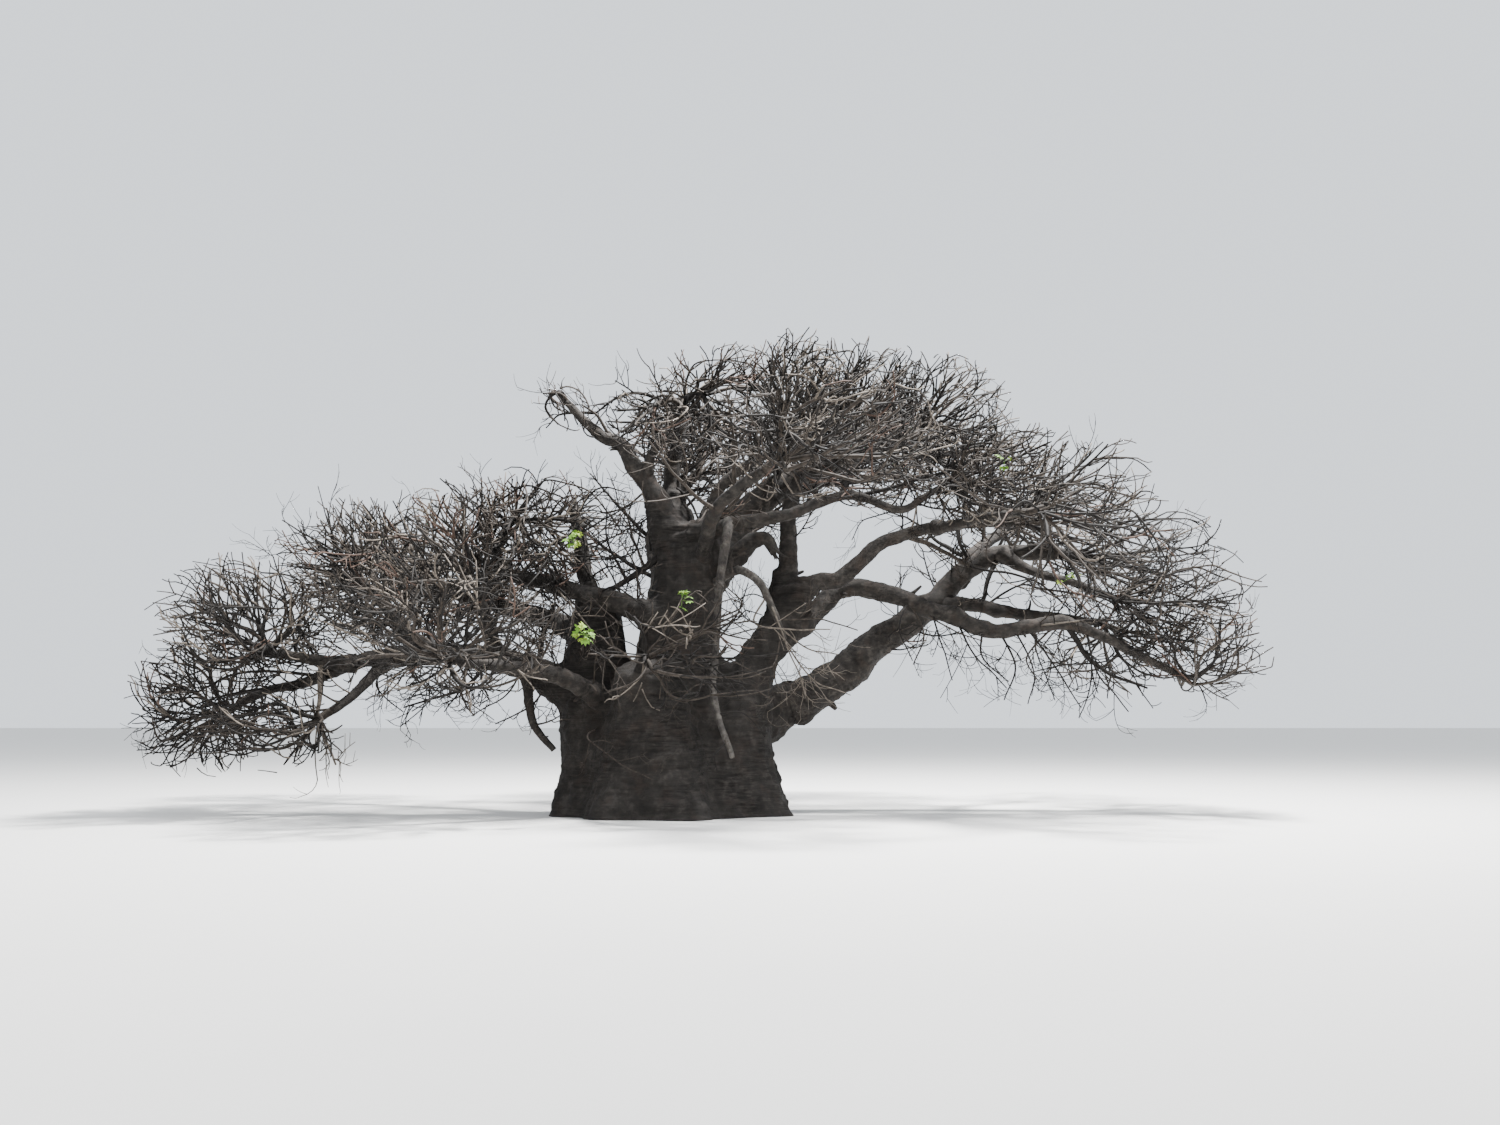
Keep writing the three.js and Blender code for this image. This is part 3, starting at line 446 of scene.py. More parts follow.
def unit(rows):
    """Rows scaled to length one."""
    rows = np.asarray(rows, float)
    return rows / np.maximum(np.linalg.norm(rows, axis=-1, keepdims=True), 1e-12)


def run_along(line):
    """The distance along a line from its start to each of its points."""
    return np.concatenate([[0], np.cumsum(np.linalg.norm(np.diff(line, axis=0), axis=1))])


def seeded_random(seed):
    """The source's repeatable run of numbers from 0 to 1."""
    state = seed & 0xFFFFFFFF

    def draw():
        nonlocal state
        state = (state + 0x6D2B79F5) & 0xFFFFFFFF
        mix = ((state ^ (state >> 15)) * (state | 1)) & 0xFFFFFFFF
        mix ^= (mix + (((mix ^ (mix >> 7)) * (mix | 61)) & 0xFFFFFFFF)) & 0xFFFFFFFF
        return ((mix ^ (mix >> 14)) & 0xFFFFFFFF) / 4294967296

    return draw


def lattice(ix, iy, iz, seed):
    """A repeatable number from -1 to 1 for each lattice corner."""
    n = (ix * np.uint32(374761393) + iy * np.uint32(668265263) + iz * np.uint32(2147483647)
         + np.uint32((seed * 974634777 + 12345) & 0xFFFFFFFF))
    n = (n ^ (n >> np.uint32(13))) * np.uint32(1274126177)
    n = (n ^ (n >> np.uint32(15))) * np.uint32(2246822519)
    n ^= n >> np.uint32(16)
    return n.astype(np.float64) / 2147483647.5 - 1.0


def noise(points, seed=0):
    """Smooth noise from -1 to 1 at the points."""
    points = np.asarray(points, float)
    cell = np.floor(points)
    f = points - cell
    f = f * f * f * (f * (f * 6 - 15) + 10)
    i = cell.astype(np.int64).astype(np.uint32)
    total = 0.0
    for corner in itertools.product((0, 1), repeat=3):
        weight = 1.0
        for axis, step in enumerate(corner):
            weight = weight * (f[:, axis] if step else 1 - f[:, axis])
        total = total + weight * lattice(*(i + np.array(corner, np.uint32)).T, seed)
    return total


def fractal(points, octaves, seed=0):
    """Noise summed over finer and finer octaves."""
    total = 0.0
    weight = 1.0
    for k in range(octaves):
        total = total + weight * noise(points * (2.03 ** k), seed + k)
        weight *= 0.5
    return total / (2 - 2.0 ** (1 - octaves))


def spline(points, count_per_span=None, spaced=None):
    """A smooth line through the points, as the source's curve class draws it."""
    points = np.asarray(points, float)
    last = len(points) - 1

    def at(t):
        p = last * np.asarray(t, float)
        k = np.minimum(np.floor(p).astype(int), last - 1)
        w = (p - k)[:, None]
        ext = np.vstack([2 * points[0] - points[1], points, 2 * points[-1] - points[-2]])
        x0, x1, x2, x3 = ext[k], ext[k + 1], ext[k + 2], ext[k + 3]
        d0, d1, d2 = (np.maximum(np.sum((b - a) ** 2, axis=1) ** 0.25, 1e-4)[:, None]
                      for a, b in ((x0, x1), (x1, x2), (x2, x3)))
        t1 = ((x1 - x0) / d0 - (x2 - x0) / (d0 + d1) + (x2 - x1) / d1) * d1
        t2 = ((x2 - x1) / d1 - (x3 - x1) / (d1 + d2) + (x3 - x2) / d2) * d1
        return x1 + t1 * w + (-3 * x1 + 3 * x2 - 2 * t1 - t2) * w ** 2 + (2 * x1 - 2 * x2 + t1 + t2) * w ** 3

    if count_per_span:
        return at(np.linspace(0, 1, last * count_per_span + 1))
    fine = np.linspace(0, 1, 401)
    run = run_along(at(fine))
    return at(np.interp(np.linspace(0, run[-1], spaced(run[-1]) + 1), run, fine))


def frames_along(lines):
    """Two side vectors at each point of many lines at once: lines has the shape (line, point, 3)."""
    steps = unit(np.diff(lines, axis=1))
    along = np.concatenate([steps[:, :1], unit(steps[:, 1:] + steps[:, :-1]), steps[:, -1:]], axis=1)
    side = np.where(np.abs(along[:, 0, :1]) > 0.8, [[0.0, 0.0, 1.0]], [[1.0, 0.0, 0.0]])
    sides = []
    for k in range(lines.shape[1]):
        side = unit(side - np.sum(side * along[:, k], axis=1, keepdims=True) * along[:, k])
        sides.append(side)
    sides = np.stack(sides, axis=1)
    return sides, np.cross(along, sides)


class Batch:
    """Gathers tubes and other faces, then makes one mesh of them."""

    def __init__(self):
        self.verts = []
        self.loops = []
        self.sizes = []
        self.kinds = []
        self.count = 0

    def add(self, verts, *parts):
        """Each part is faces with one number of corners, and one kind or one a face."""
        self.verts.append(np.asarray(verts, float).reshape(-1, 3))
        for faces, kinds in parts:
            faces = np.asarray(faces)
            self.loops.append((faces + self.count).ravel())
            self.sizes.append(np.full(len(faces), faces.shape[1]))
            self.kinds.append(np.broadcast_to(np.asarray(kinds), (len(faces),)))
        self.count += len(self.verts[-1])

    def tubes(self, lines, radii, sides, kinds, shape=None):
        """Closed tubes for many lines with the same number of points, and one kind a line."""
        lines = np.asarray(lines, float)
        radii = np.asarray(radii, float)
        n, m = lines.shape[:2]
        side, up = frames_along(lines)
        angle = np.linspace(0, 2 * math.pi, sides, endpoint=False)
        ring = side[:, :, None] * np.cos(angle)[:, None] + up[:, :, None] * np.sin(angle)[:, None]
        swell = radii[:, :, None] if shape is None else radii[:, :, None] * shape(lines, ring, angle)
        j = np.arange(sides)
        k = (j + 1) % sides
        rows = np.arange(m - 1)[:, None] * sides
        quads = np.stack([rows + j, rows + k, rows + sides + k, rows + sides + j], axis=-1).reshape(-1, 4)
        caps = np.array([j[::-1], j + (m - 1) * sides])
        base = (np.arange(n) * m * sides)[:, None, None]
        self.add(lines[:, :, None] + ring * swell[..., None],
                 ((quads[None] + base).reshape(-1, 4), np.repeat(kinds, len(quads))),
                 ((caps[None] + base).reshape(-1, sides), np.repeat(kinds, 2)))

    def mesh(self, name, materials):
        """One object with all the gathered faces."""
        verts = np.concatenate(self.verts)
        sizes = np.concatenate(self.sizes).astype(np.int32)
        loops = np.concatenate(self.loops).astype(np.int32)
        data = bpy.data.meshes.new(name)
        data.vertices.add(len(verts))
        data.vertices.foreach_set("co", verts.ravel().astype(np.float32))
        data.loops.add(len(loops))
        data.loops.foreach_set("vertex_index", loops)
        data.polygons.add(len(sizes))
        data.polygons.foreach_set("loop_start", np.concatenate([[0], np.cumsum(sizes)[:-1]]).astype(np.int32))
        data.polygons.foreach_set("material_index", np.concatenate(self.kinds).astype(np.int32))
        data.polygons.foreach_set("use_smooth", np.ones(len(sizes), bool))
        data.update(calc_edges=True)
        data.validate()
        return placed(name, data, materials)


def placed(name, data, materials):
    """An object in the scene made of mesh or light data."""
    for material in materials:
        data.materials.append(material)
    piece = bpy.data.objects.new(name, data)
    bpy.context.scene.collection.objects.link(piece)
    return piece


# Limbs

def stem_line(points, per_span):
    """Ring centres and radii of one trunk stem, in metres."""
    x, y, _, radius = points[0]
    ways = np.array([[x, y, -FOOT_DEPTH, radius * FOOT_SWELL]] + points, float)
    centres = spline(ways[:, :3], count_per_span=per_span)
    sizes = np.stack([np.arange(len(ways)), ways[:, 3], 0 * ways[:, 3]], 1)
    return centres * MM, spline(sizes, count_per_span=per_span)[:, 1] * MM


def bough_line(ways, root, tip):
    """Ring centres and radii of one bough as the source sets them, in metres."""
    centres = spline(ways, spaced=lambda length: max(4, round(length / BOUGH_STEP)))
    return centres * MM, np.linspace(root, tip, len(centres)) * MM


def stem_shape(phase):
    """The root flare, buttresses and flutes of a stem's outline."""
    def shape(lines, ring, angle):
        height = np.maximum(lines[..., 2], 0)[..., None]
        flare = FLARE_DEPTH * np.exp(-height / (FLARE_HEIGHT * MM))
        fade = np.exp(-height / (BUTTRESS_HEIGHT * MM))
        buttress = BUTTRESS_DEPTH * fade * np.cos(BUTTRESS_COUNT * angle + phase)
        return 1 + flare + buttress + FLUTE_DEPTH * np.cos(FLUTE_COUNT * angle + 2 * phase)
    return shape


def round_pieces(lines):
    """The straight round pieces of lines of centres and radii: their ends a and b, and their radii."""
    rows = [(c[:-1], c[1:], np.maximum(r[:-1], r[1:])) for c, r in lines]
    return [np.concatenate(part) for part in zip(*rows)]


def gap_to(points, pieces):
    """Distance from each point to the nearest surface of the round pieces."""
    a, b, r = pieces
    ab = b - a
    t = np.einsum("pqk,qk->pq", points[:, None] - a[None], ab) / np.maximum(np.sum(ab * ab, axis=1), 1e-12)
    near = a[None] + np.clip(t, 0, 1)[..., None] * ab[None]
    return np.min(np.linalg.norm(points[:, None] - near, axis=2) - r, axis=1)


def piece_distance(a, b, c, d):
    """Shortest distances between the straight piece a-b and the pieces c-d."""
    u = b - a
    v = d - c
    w = a - c
    uu = u @ u
    uv = v @ u
    vv = np.sum(v * v, axis=1)
    uw = w @ u
    vw = np.sum(v * w, axis=1)
    cross = uu * vv - uv * uv
    s = np.where(cross > 1e-9, np.clip((uv * vw - vv * uw) / np.where(cross > 1e-9, cross, 1), 0, 1), 0)
    t = np.clip((uv * s + vw) / vv, 0, 1)
    s = np.clip((uv * t - uw) / uu, 0, 1)
    return np.linalg.norm(w + u * s[:, None] - v * t[:, None], axis=1)


# Main twigs, by the source's rule, in millimetres

def outness(point, mass):
    """How far out a point lies in a mass's space, where 1 is the border."""
    return np.linalg.norm((point - mass["middle"]) / mass["half"], axis=-1)


def in_own_space(point, mass, masses):
    """Whether a point is inside the mass and nearer to its middle than to any other mass's."""
    own = outness(point, mass)
    return own <= 1 and all(outness(point, other) > own + BORDER for other in masses if other is not mass)


def bud_points(mass, masses, draw):
    """Where a mass's main twigs end: its reaches first, then seeded points with room between them."""
    buds = []
    for way in REACH_WAYS:
        point = unit(way) * REACH * mass["half"] + mass["middle"]
        if in_own_space(point, mass, masses):
            buds.append(point)
    room = SPACING * np.cbrt(np.prod(mass["half"]) / (mass["buds"] / 30))
    tries = 0
    while tries < 4000 and len(buds) < mass["buds"]:
        tries += 1
        height = 2 * draw() - 1
        turn = 2 * math.pi * draw()
        out = INNER_SHARE + (REACH - INNER_SHARE) * math.sqrt(draw())
        flat = math.sqrt(1 - height * height)
        way = np.array([flat * math.cos(turn), flat * math.sin(turn), height])
        point = way * out * mass["half"] + mass["middle"]
        if in_own_space(point, mass, masses) and all(np.linalg.norm(bud - point) > room for bud in buds):
            buds.append(point)
    return buds


def grow_main_twigs(mass, masses, taken, draw):
    """Nodes of a mass's main twigs: each step joins the bud that is cheapest to reach."""
    open_buds = [[point, set()] for point in bud_points(mass, masses, draw)]
    points = list(mass["stalk"])
    parents = [k - 1 for k in range(len(points))]
    lengths = [k * STALK_LENGTH for k in range(len(points))]
    first = len(points) - 1
    while open_buds:
        best = None
        heads = np.array(points[first:])
        ways = unit(heads - np.array([points[parents[k]] for k in range(first, len(points))]))
        for i, (bud, tried) in enumerate(open_buds):
            step = bud - heads
            far = np.linalg.norm(step, axis=1)
            bend = 1 - np.sum(step / far[:, None] * ways, axis=1)
            cost = far * (1 + BEND_COST * bend) + LENGTH_COST * np.array(lengths[first:])
            for k in tried:
                cost[k - first] = np.inf
            k = int(np.argmin(cost))
            if np.isfinite(cost[k]) and (best is None or cost[k] < best[0]):
                best = (cost[k], i, k + first, far[k])
        if best is None:
            break
        _, i, k, far = best
        bud, tried = open_buds[i]
        a, b, r = taken
        if np.any(piece_distance(points[k], bud, a, b) < r + 2 * TWIG_TIP_RADIUS + TWIG_ROOM):
            tried.add(k)
            if len(tried) > 2:
                open_buds.pop(i)
        else:
            points.append(bud)
            parents.append(k)
            lengths.append(lengths[k] + far)
            open_buds.pop(i)
    return np.array(points), np.array(parents)


def stalk_of(bough):
    """The two points of a mass's stalk, in millimetres, and its radius in metres."""
    if bough not in bough_lines:
        return [np.array(SKIRT_ROOT, float), np.array(SKIRT_WAY, float)], SKIRT_RADIUS * MM
    centres, radii = bough_lines[bough]
    way = unit(centres[-1] - centres[-2])
    return [centres[-1] / MM + way * reach for reach in (STALK_GAP, STALK_LENGTH)], radii[-1]


def masses_with_main_twigs():
    """All masses with their spaces and main twigs, in metres."""
    masses = []
    for name, bough, middle, half, buds, zone, fullness in MASSES:
        stalk, root_radius = stalk_of(bough)
        masses.append({"name": name, "middle": np.array(middle, float), "half": np.array(half, float),
                       "buds": buds, "zone": zone, "fullness": fullness,
                       "stalk": stalk, "root_radius": root_radius})
    taken = [part / MM for part in limb_pieces]
    for k, mass in enumerate(masses):
        points, parents = grow_main_twigs(mass, masses, taken, seeded_random(101 + 17 * k))
        mass["points"] = points * MM
        mass["parents"] = parents
        taken = [np.vstack([taken[0], points[parents[1:]]]), np.vstack([taken[1], points[1:]]),
                 np.concatenate([taken[2], np.full(len(points) - 1, 2.0 * TWIG_TIP_RADIUS)])]
    for mass in masses:
        mass["middle"] = mass["middle"] * MM
        mass["half"] = mass["half"] * MM
    return masses


# Finer twigs

def curve_at(a, b, c, t):
    """The point at t of a curve from a to c that b draws aside."""
    return (1 - t) ** 2 * a + 2 * t * (1 - t) * b + t * t * c


def fine_buds(mass, rng, count):
    """Evenly spread points in a mass's space, out to a ragged limit."""
    room = FINE_SPACING * np.cbrt(ELLIPSOID_SHARE * np.prod(mass["half"]) / count)
    ways = unit(rng.normal(size=(count * 8, 3)))
    limit = FINE_OUT + RAGGEDNESS * noise(ways * 2.6 + mass["middle"], 3)
    out = FINE_IN + (np.minimum(limit, 1.0) - FINE_IN) * np.cbrt(rng.random(count * 8)) ** 0.85
    cloud = mass["middle"] + ways * out[:, None] * mass["half"]
    own = outness(cloud, mass)
    for other in masses:
        if other is not mass:
            cloud = cloud[outness(cloud, other) > own - FINE_OVERLAP]
            own = outness(cloud, mass)
    near = gap_to(cloud, limb_pieces)
    cloud = cloud[(near > BUD_ROOM) & (cloud[:, 2] > LOWEST_BUD) & (noise(cloud * 1.9, 9) > HOLE_NOISE)]
    kept = np.zeros((0, 3))
    for point in cloud:
        if len(kept) >= count:
            break
        if len(kept) == 0 or np.min(np.sum((kept - point) ** 2, axis=1)) > room * room:
            kept = np.vstack([kept, point])
    return kept


def grow_fine(mass, rng):
    """Carries the main twigs on: adds sites along them, then joins many more buds by the same rule."""
    points = [mass["points"][0]]
    parents = [-1]
    lengths = [0.0]
    sprays = [0]
    last_of = {0: 0}

    def lay(start, far, steps, spray, place):
        """Adds nodes from start on, at the places that place gives, and returns the last one's number."""
        before = start
        for s in range(1, steps + 1):
            points.append(place(s))
            parents.append(before)
            lengths.append(lengths[before] + far / steps)
            sprays.append(spray)
            before = len(points) - 1
        return before

    for k in range(1, len(mass["points"])):
        start = last_of[int(mass["parents"][k])]
        a = points[start]
        b = mass["points"][k]
        far = np.linalg.norm(b - a)
        steps = max(1, int(round(far / SITE_STEP)))
        way = unit(points[start] - points[parents[start]]) if parents[start] >= 0 else unit(b - a)
        bend = a + unit(way + 2.0 * unit(b - a)) * far * BEND_REACH - UP * far * SAG

        def site(s):
            """Place number s on the way to the bud, a little crooked."""
            point = curve_at(a, bend, b, s / steps) if k > 1 else a + (b - a) * (s / steps)
            return point + rng.normal(size=3) * SITE_CROOK * SITE_STEP if s < steps else point

        last_of[k] = lay(start, far, steps, k, site)
    buds = fine_buds(mass, rng, mass["fine_count"])
    best = np.full(len(buds), np.inf)
    best_from = np.zeros(len(buds), int)
    alive = np.ones(len(buds), bool)

    def offer(first):
        """Lets each bud choose the nodes from first on, where they are cheaper to reach than before."""
        heads = np.array(points[first:])
        befores = np.array([points[max(parents[k], 0)] for k in range(first, len(points))])
        ways = unit(heads - befores)
        step = buds[:, None] - heads[None]
        far = np.linalg.norm(step, axis=2)
        bend = 1 - np.sum(step * ways[None], axis=2) / np.maximum(far, 1e-9)
        cost = far * (1 + FINE_BEND_COST * bend) + FINE_LENGTH_COST * np.array(lengths[first:])[None]
        k = np.argmin(cost, axis=1)
        value = cost[np.arange(len(buds)), k]
        better = value < best
        best[better] = value[better]
        best_from[better] = k[better] + first

    offer(2)
    for _ in range(len(buds)):
        i = int(np.argmin(np.where(alive, best, np.inf)))
        k = int(best_from[i])
        alive[i] = False
        a = points[k]
        b = buds[i]
        far = np.linalg.norm(b - a)
        way = unit(a - points[max(parents[k], 0)])
        steps = max(1, int(round(far / FINE_SITE_STEP)))
        bend = a + unit(way + unit(b - a)) * far * BEND_REACH - UP * far * FINE_SAG
        bend = bend + rng.normal(size=3) * far * FINE_SWAY
        first = len(points)
        lay(k, far, steps, 1000 + i, lambda s: curve_at(a, bend, b, s / steps))
        offer(first)
    mass["points"] = np.array(points)
    mass["parents"] = np.array(parents)
    mass["sprays"] = np.array(sprays)


def tip_counts(parents):
    """For each node the twig tips beyond it, and the nodes that leave it."""
    forks = np.zeros(len(parents), int)
    np.add.at(forks, parents[1:], 1)
    tips = (forks == 0).astype(float)
    for k in range(len(parents) - 1, 0, -1):
        tips[parents[k]] += tips[k]
    return tips, forks


def chains_of(parents, tips):
    """Chains of nodes: at a fork the child with the most tips leads on."""
    children = [[] for _ in parents]
    for k in range(1, len(parents)):
        children[parents[k]].append(k)
    chains = []
    stack = [(None, 0)]
    while stack:
        before, k = stack.pop()
        chain = [k] if before is None else [before, k]
        while children[k]:
            order = sorted(children[k], key=lambda c: -tips[c])
            for other in order[1:]:
                stack.append((k, other))
            k = order[0]
            chain.append(k)
        chains.append(chain)
    return chains


def add_chains(batch, mass, tint):
    """Tubes for all of a mass's chains, in groups with the same number of points."""
    points = mass["points"]
    parents = mass["parents"]
    tips, _ = tip_counts(parents)
    power = math.log(mass["root_radius"] / FINE_TIP_RADIUS) / math.log(max(tips[0], 2))
    radii = FINE_TIP_RADIUS * tips ** min(power, MOST_THICKENING)
    mass["radii"] = radii
    groups = {}
    for chain in chains_of(parents, tips):
        line = points[chain]
        thick = radii[chain].copy()
        if chain[0] != 0:
            thick[0] = min(thick[0], thick[1] * 1.25)
        thick[-1] *= 0.75
        if len(chain) > 2:
            line[1:-1] = 0.5 * line[1:-1] + 0.25 * (line[:-2] + line[2:])
        if thick.max() > MIDDLE_TWIG:
            line = spline(line, count_per_span=2)
            thick = np.interp(np.linspace(0, 1, len(line)), np.linspace(0, 1, len(thick)), thick)
        sides = 7 if thick.max() > THICK_TWIG else 5 if thick.max() > MIDDLE_TWIG else 3
        kind = tint[mass["sprays"][chain[1]]] % (4 if radii[chain[1]] < SLIM_TWIG else 2)
        groups.setdefault((len(line), sides), []).append((line, thick, kind))
    for (_, sides), rows in sorted(groups.items()):
        lines, thick, kinds = zip(*rows)
        batch.tubes(lines, thick, sides, np.array(kinds))


def across(ways, rng):
    """Seeded directions square to ways."""
    aside = rng.normal(size=ways.shape)
    return unit(aside - np.sum(aside * ways, axis=1, keepdims=True) * ways)


def shoots(roots, ways, aside, size, rng, lift, count):
    """Curved lines that leave the roots between ways and aside, then turn upwards."""
    go = unit(ways + aside)
    curl = unit(go + UP * lift + rng.normal(size=go.shape) * 0.42)
    steps = np.linspace(0, 1, count)[:, None]
    path = go[:, None] * steps + (curl - go)[:, None] * steps ** 2 * 0.6
    return roots[:, None] + path * size[:, None, None]


def winding(roots, go, size, rng, lift, count):
    """Curved lines that set out along go and bend one way, then the other."""
    first = rng.normal(size=go.shape) * 0.36 + UP * lift
    later = rng.normal(size=go.shape) * 0.40 - first * 0.5
    steps = np.linspace(0, 1, count)[:, None]
    path = go[:, None] * steps + first[:, None] * steps ** 2 * 0.6 + later[:, None] * steps ** 3 * 0.5
    return roots[:, None] + path * size[:, None, None]


def picked_places(lines, first, last, share, rng):
    """A seeded share of the lines' points from first to last: which ones, the points and the lines' ways."""
    before = np.stack([lines[:, first - 1:last - 1], lines[:, first:last]], axis=2).reshape(-1, 2, 3)
    pick = rng.random(len(before)) < share
    before = before[pick]
    return pick, before[:, 1], unit(before[:, 1] - before[:, 0])


def twiglets(mass, rng):
    """Side twigs and forked tips: groups of lines, radii and the node that each one leaves."""
    points = mass["points"]
    parents = mass["parents"]
    radii = mass["radii"]
    _, forks = tip_counts(parents)
    nodes = np.arange(2, len(points))
    slim = nodes[radii[nodes] < BEARING_TWIG]
    ends = slim[forks[slim] == 0]
    beside = slim[rng.random(len(slim)) < SIDE_TWIG_SHARE]
    roots = np.concatenate([beside, ends, ends])
    is_end = np.arange(len(roots)) >= len(beside)
    way = unit(points[roots] - points[parents[roots]])
    out = unit((points[roots] - mass["middle"]) / mass["half"] ** 2)
    away = unit((points[roots] - TREE_MIDDLE) * [1, 1, 0.5])
    aside = across(way, rng) * np.where(is_end, 0.62, 1.0)[:, None] + out * 0.25 + away * 0.30
    size = rng.uniform(*SIDE_TWIG_LENGTHS, len(roots))
    lines = winding(points[roots], unit(way + aside), size, rng, 0.25, 6)
    thick = np.minimum(radii[roots], FINE_TIP_RADIUS * 0.92)[:, None] * np.linspace(1.0, 0.78, 6)
    groups = [(lines, thick, roots)]
    for first, last, share, shortest, longest, turn in TWIGLET_FORKS:
        pick, places, way = picked_places(lines, first, last, share, rng)
        size = rng.uniform(shortest, longest, len(places))
        forked = winding(places, unit(way + across(way, rng) * turn), size, rng, 0.2, 4)
        slim_thick = np.full((len(places), 1), FINE_TIP_RADIUS * 0.78) * np.linspace(1.0, 0.7, 4)
        groups.append((forked, slim_thick, np.repeat(roots, last - first)[pick]))
    return groups


def twigs_on(lines, thick, rng, steps, lift):
    """Finer and finer twigs on twigs: groups of lines and radii, one group for each step."""
    groups = []
    for share, shortest, longest in steps:
        pick, places, way = picked_places(lines, 2, lines.shape[1], share, rng)
        size = rng.uniform(shortest, longest, len(places))
        lines = shoots(places, way, across(way, rng), size, rng, lift, 5)
        thick = np.minimum(thick[:, 2:].ravel()[pick], FINER_RADIUS)[:, None] * np.linspace(0.95, 0.6, 5)
        groups.append((lines, thick))
    return groups


def ways_at(line, run, at):
    """The line's point next beyond each distance along it, and the line's way there."""
    k = np.searchsorted(run, at).clip(1, len(run) - 1)
    return k, unit(line[k] - line[k - 1])


def bough_sprays(name, rng):
    """Side twigs along a bough, with finer twigs on them: groups of lines and radii."""
    centres, radii = bough_path(name)
    run = run_along(centres)
    at = rng.uniform(0.45, 0.98, int(run[-1] * SPRAYS_PER_METRE)) * run[-1]
    k, way = ways_at(centres, run, at)
    aside = unit(across(way, rng) + UP * 0.15)
    roots = centres[k] + aside * radii[k][:, None] * 0.8
    size = rng.uniform(*SPRAY_LENGTHS, len(k)) * np.clip(0.3 + at / run[-1], 0.6, 1.2)
    lines = shoots(roots, way * 0.5, aside, size, rng, 0.7, 6)
    thick = SPRAY_RADIUS + 0.010 * size[:, None] * np.linspace(1, 0.15, 6)
    return [(lines, thick)] + twigs_on(lines, thick, rng, SPRAY_STEPS, 0.7)


def limb_line(ways, seed):
    """A side limb's line through its three places, with small crooks."""
    line = spline(ways, spaced=lambda length: int(length / SIDE_LIMB_STEP))
    return crooked(line, np.full(len(line), SIDE_LIMB_CROOK), seed)


def side_limbs():
    """Each side limb, rooted on the nearest limb made before it: bark, line and radii."""
    carriers = np.concatenate([bough_path(row[0])[0] for row in BOUGHS if row[0] not in RUN_ON])
    limbs = []
    for order, (kind, root, tip, points) in enumerate(SIDE_LIMBS):
        ways = np.array(points, float) * MM
        if gap_to(ways[:1], limb_pieces)[0] >= -0.05:
            ways[0] = carriers[np.argmin(np.sum((carriers - ways[0]) ** 2, axis=1))]
        line = limb_line(ways, 300 + order)
        carriers = np.vstack([carriers, line[5:]])
        limbs.append((kind, line, np.linspace(root, tip, len(line)) * MM))
    return limbs


def spread_limbs():
    """Limbs that fill the crown between the masses at the back and the front: bark, line and radii."""
    low, high = np.array(CAD_BOX) + np.array([[EDGE_ROOM], [-EDGE_ROOM]])
    limbs = []
    for order, (name, count) in enumerate(SPREAD_LIMBS.items()):
        rng = np.random.default_rng(8000 + order)
        centres, radii = bough_path(name)
        k = np.linspace(0.36 * len(centres), 0.97 * len(centres), count).astype(int)
        way = unit(centres[k] - centres[k - 1])
        aside = unit(across(way, rng) * [1, 1, 0.45] + UP * 0.25)
        length = rng.uniform(*SPREAD_LENGTHS, count)[:, None]
        middle = centres[k] + (way * 0.45 + aside * 0.75) * length * 0.5
        top = np.minimum(high, [np.inf, np.inf, centres[-1, 2] + EDGE_ROOM])
        tip = np.clip(centres[k] + (way * 0.45 + aside + UP * 0.25) * length * 0.8, low, top)
        for j in range(count):
            line = limb_line([centres[k[j]], middle[j], tip[j]], 500 + 20 * order + j)
            root = min(radii[k[j]] * 0.4, SPREAD_ROOT)
            limbs.append((int(rng.integers(0, 2)), line, np.linspace(root, SPREAD_TIP, len(line))))
    return limbs


def forks_on(line, thick, rng):
    """Slender forks that leave a side limb, with twigs on them: groups of lines and radii."""
    count = int(len(line) * SIDE_LIMB_STEP * FORKS_PER_METRE)
    k = rng.integers(4, len(line), count)
    way = unit(line[k] - line[k - 1])
    length = min(len(line) * SIDE_LIMB_STEP, LONGEST_BEARER)
    size = rng.uniform(*FORK_SHARES, count) * length * (1 - 0.5 * k / len(line))
    lines = winding(line[k], unit(way + across(way, rng) * 0.9), size, rng, 0.05, 8)
    slim = np.minimum(thick[k] * 0.75, FORK_RADIUS)[:, None] * np.linspace(1, 0.6, 8)
    return [(lines, slim)] + twigs_on(lines, slim, rng, FORK_STEPS, 0.45)


def seen_at(points):
    """Picture places, in pixels, of points seen by the camera, and their distances."""
    away = points - np.array(EYE)
    depth = away[:, 1] * math.cos(PITCH) + away[:, 2] * math.sin(PITCH)
    rise = -away[:, 1] * math.sin(PITCH) + away[:, 2] * math.cos(PITCH)
    column = PICTURE_WIDTH / 2 + FOCAL_PIXELS * away[:, 0] / depth
    row = PICTURE_WIDTH * 3 / 8 - FOCAL_PIXELS * rise / depth
    return column, row, depth


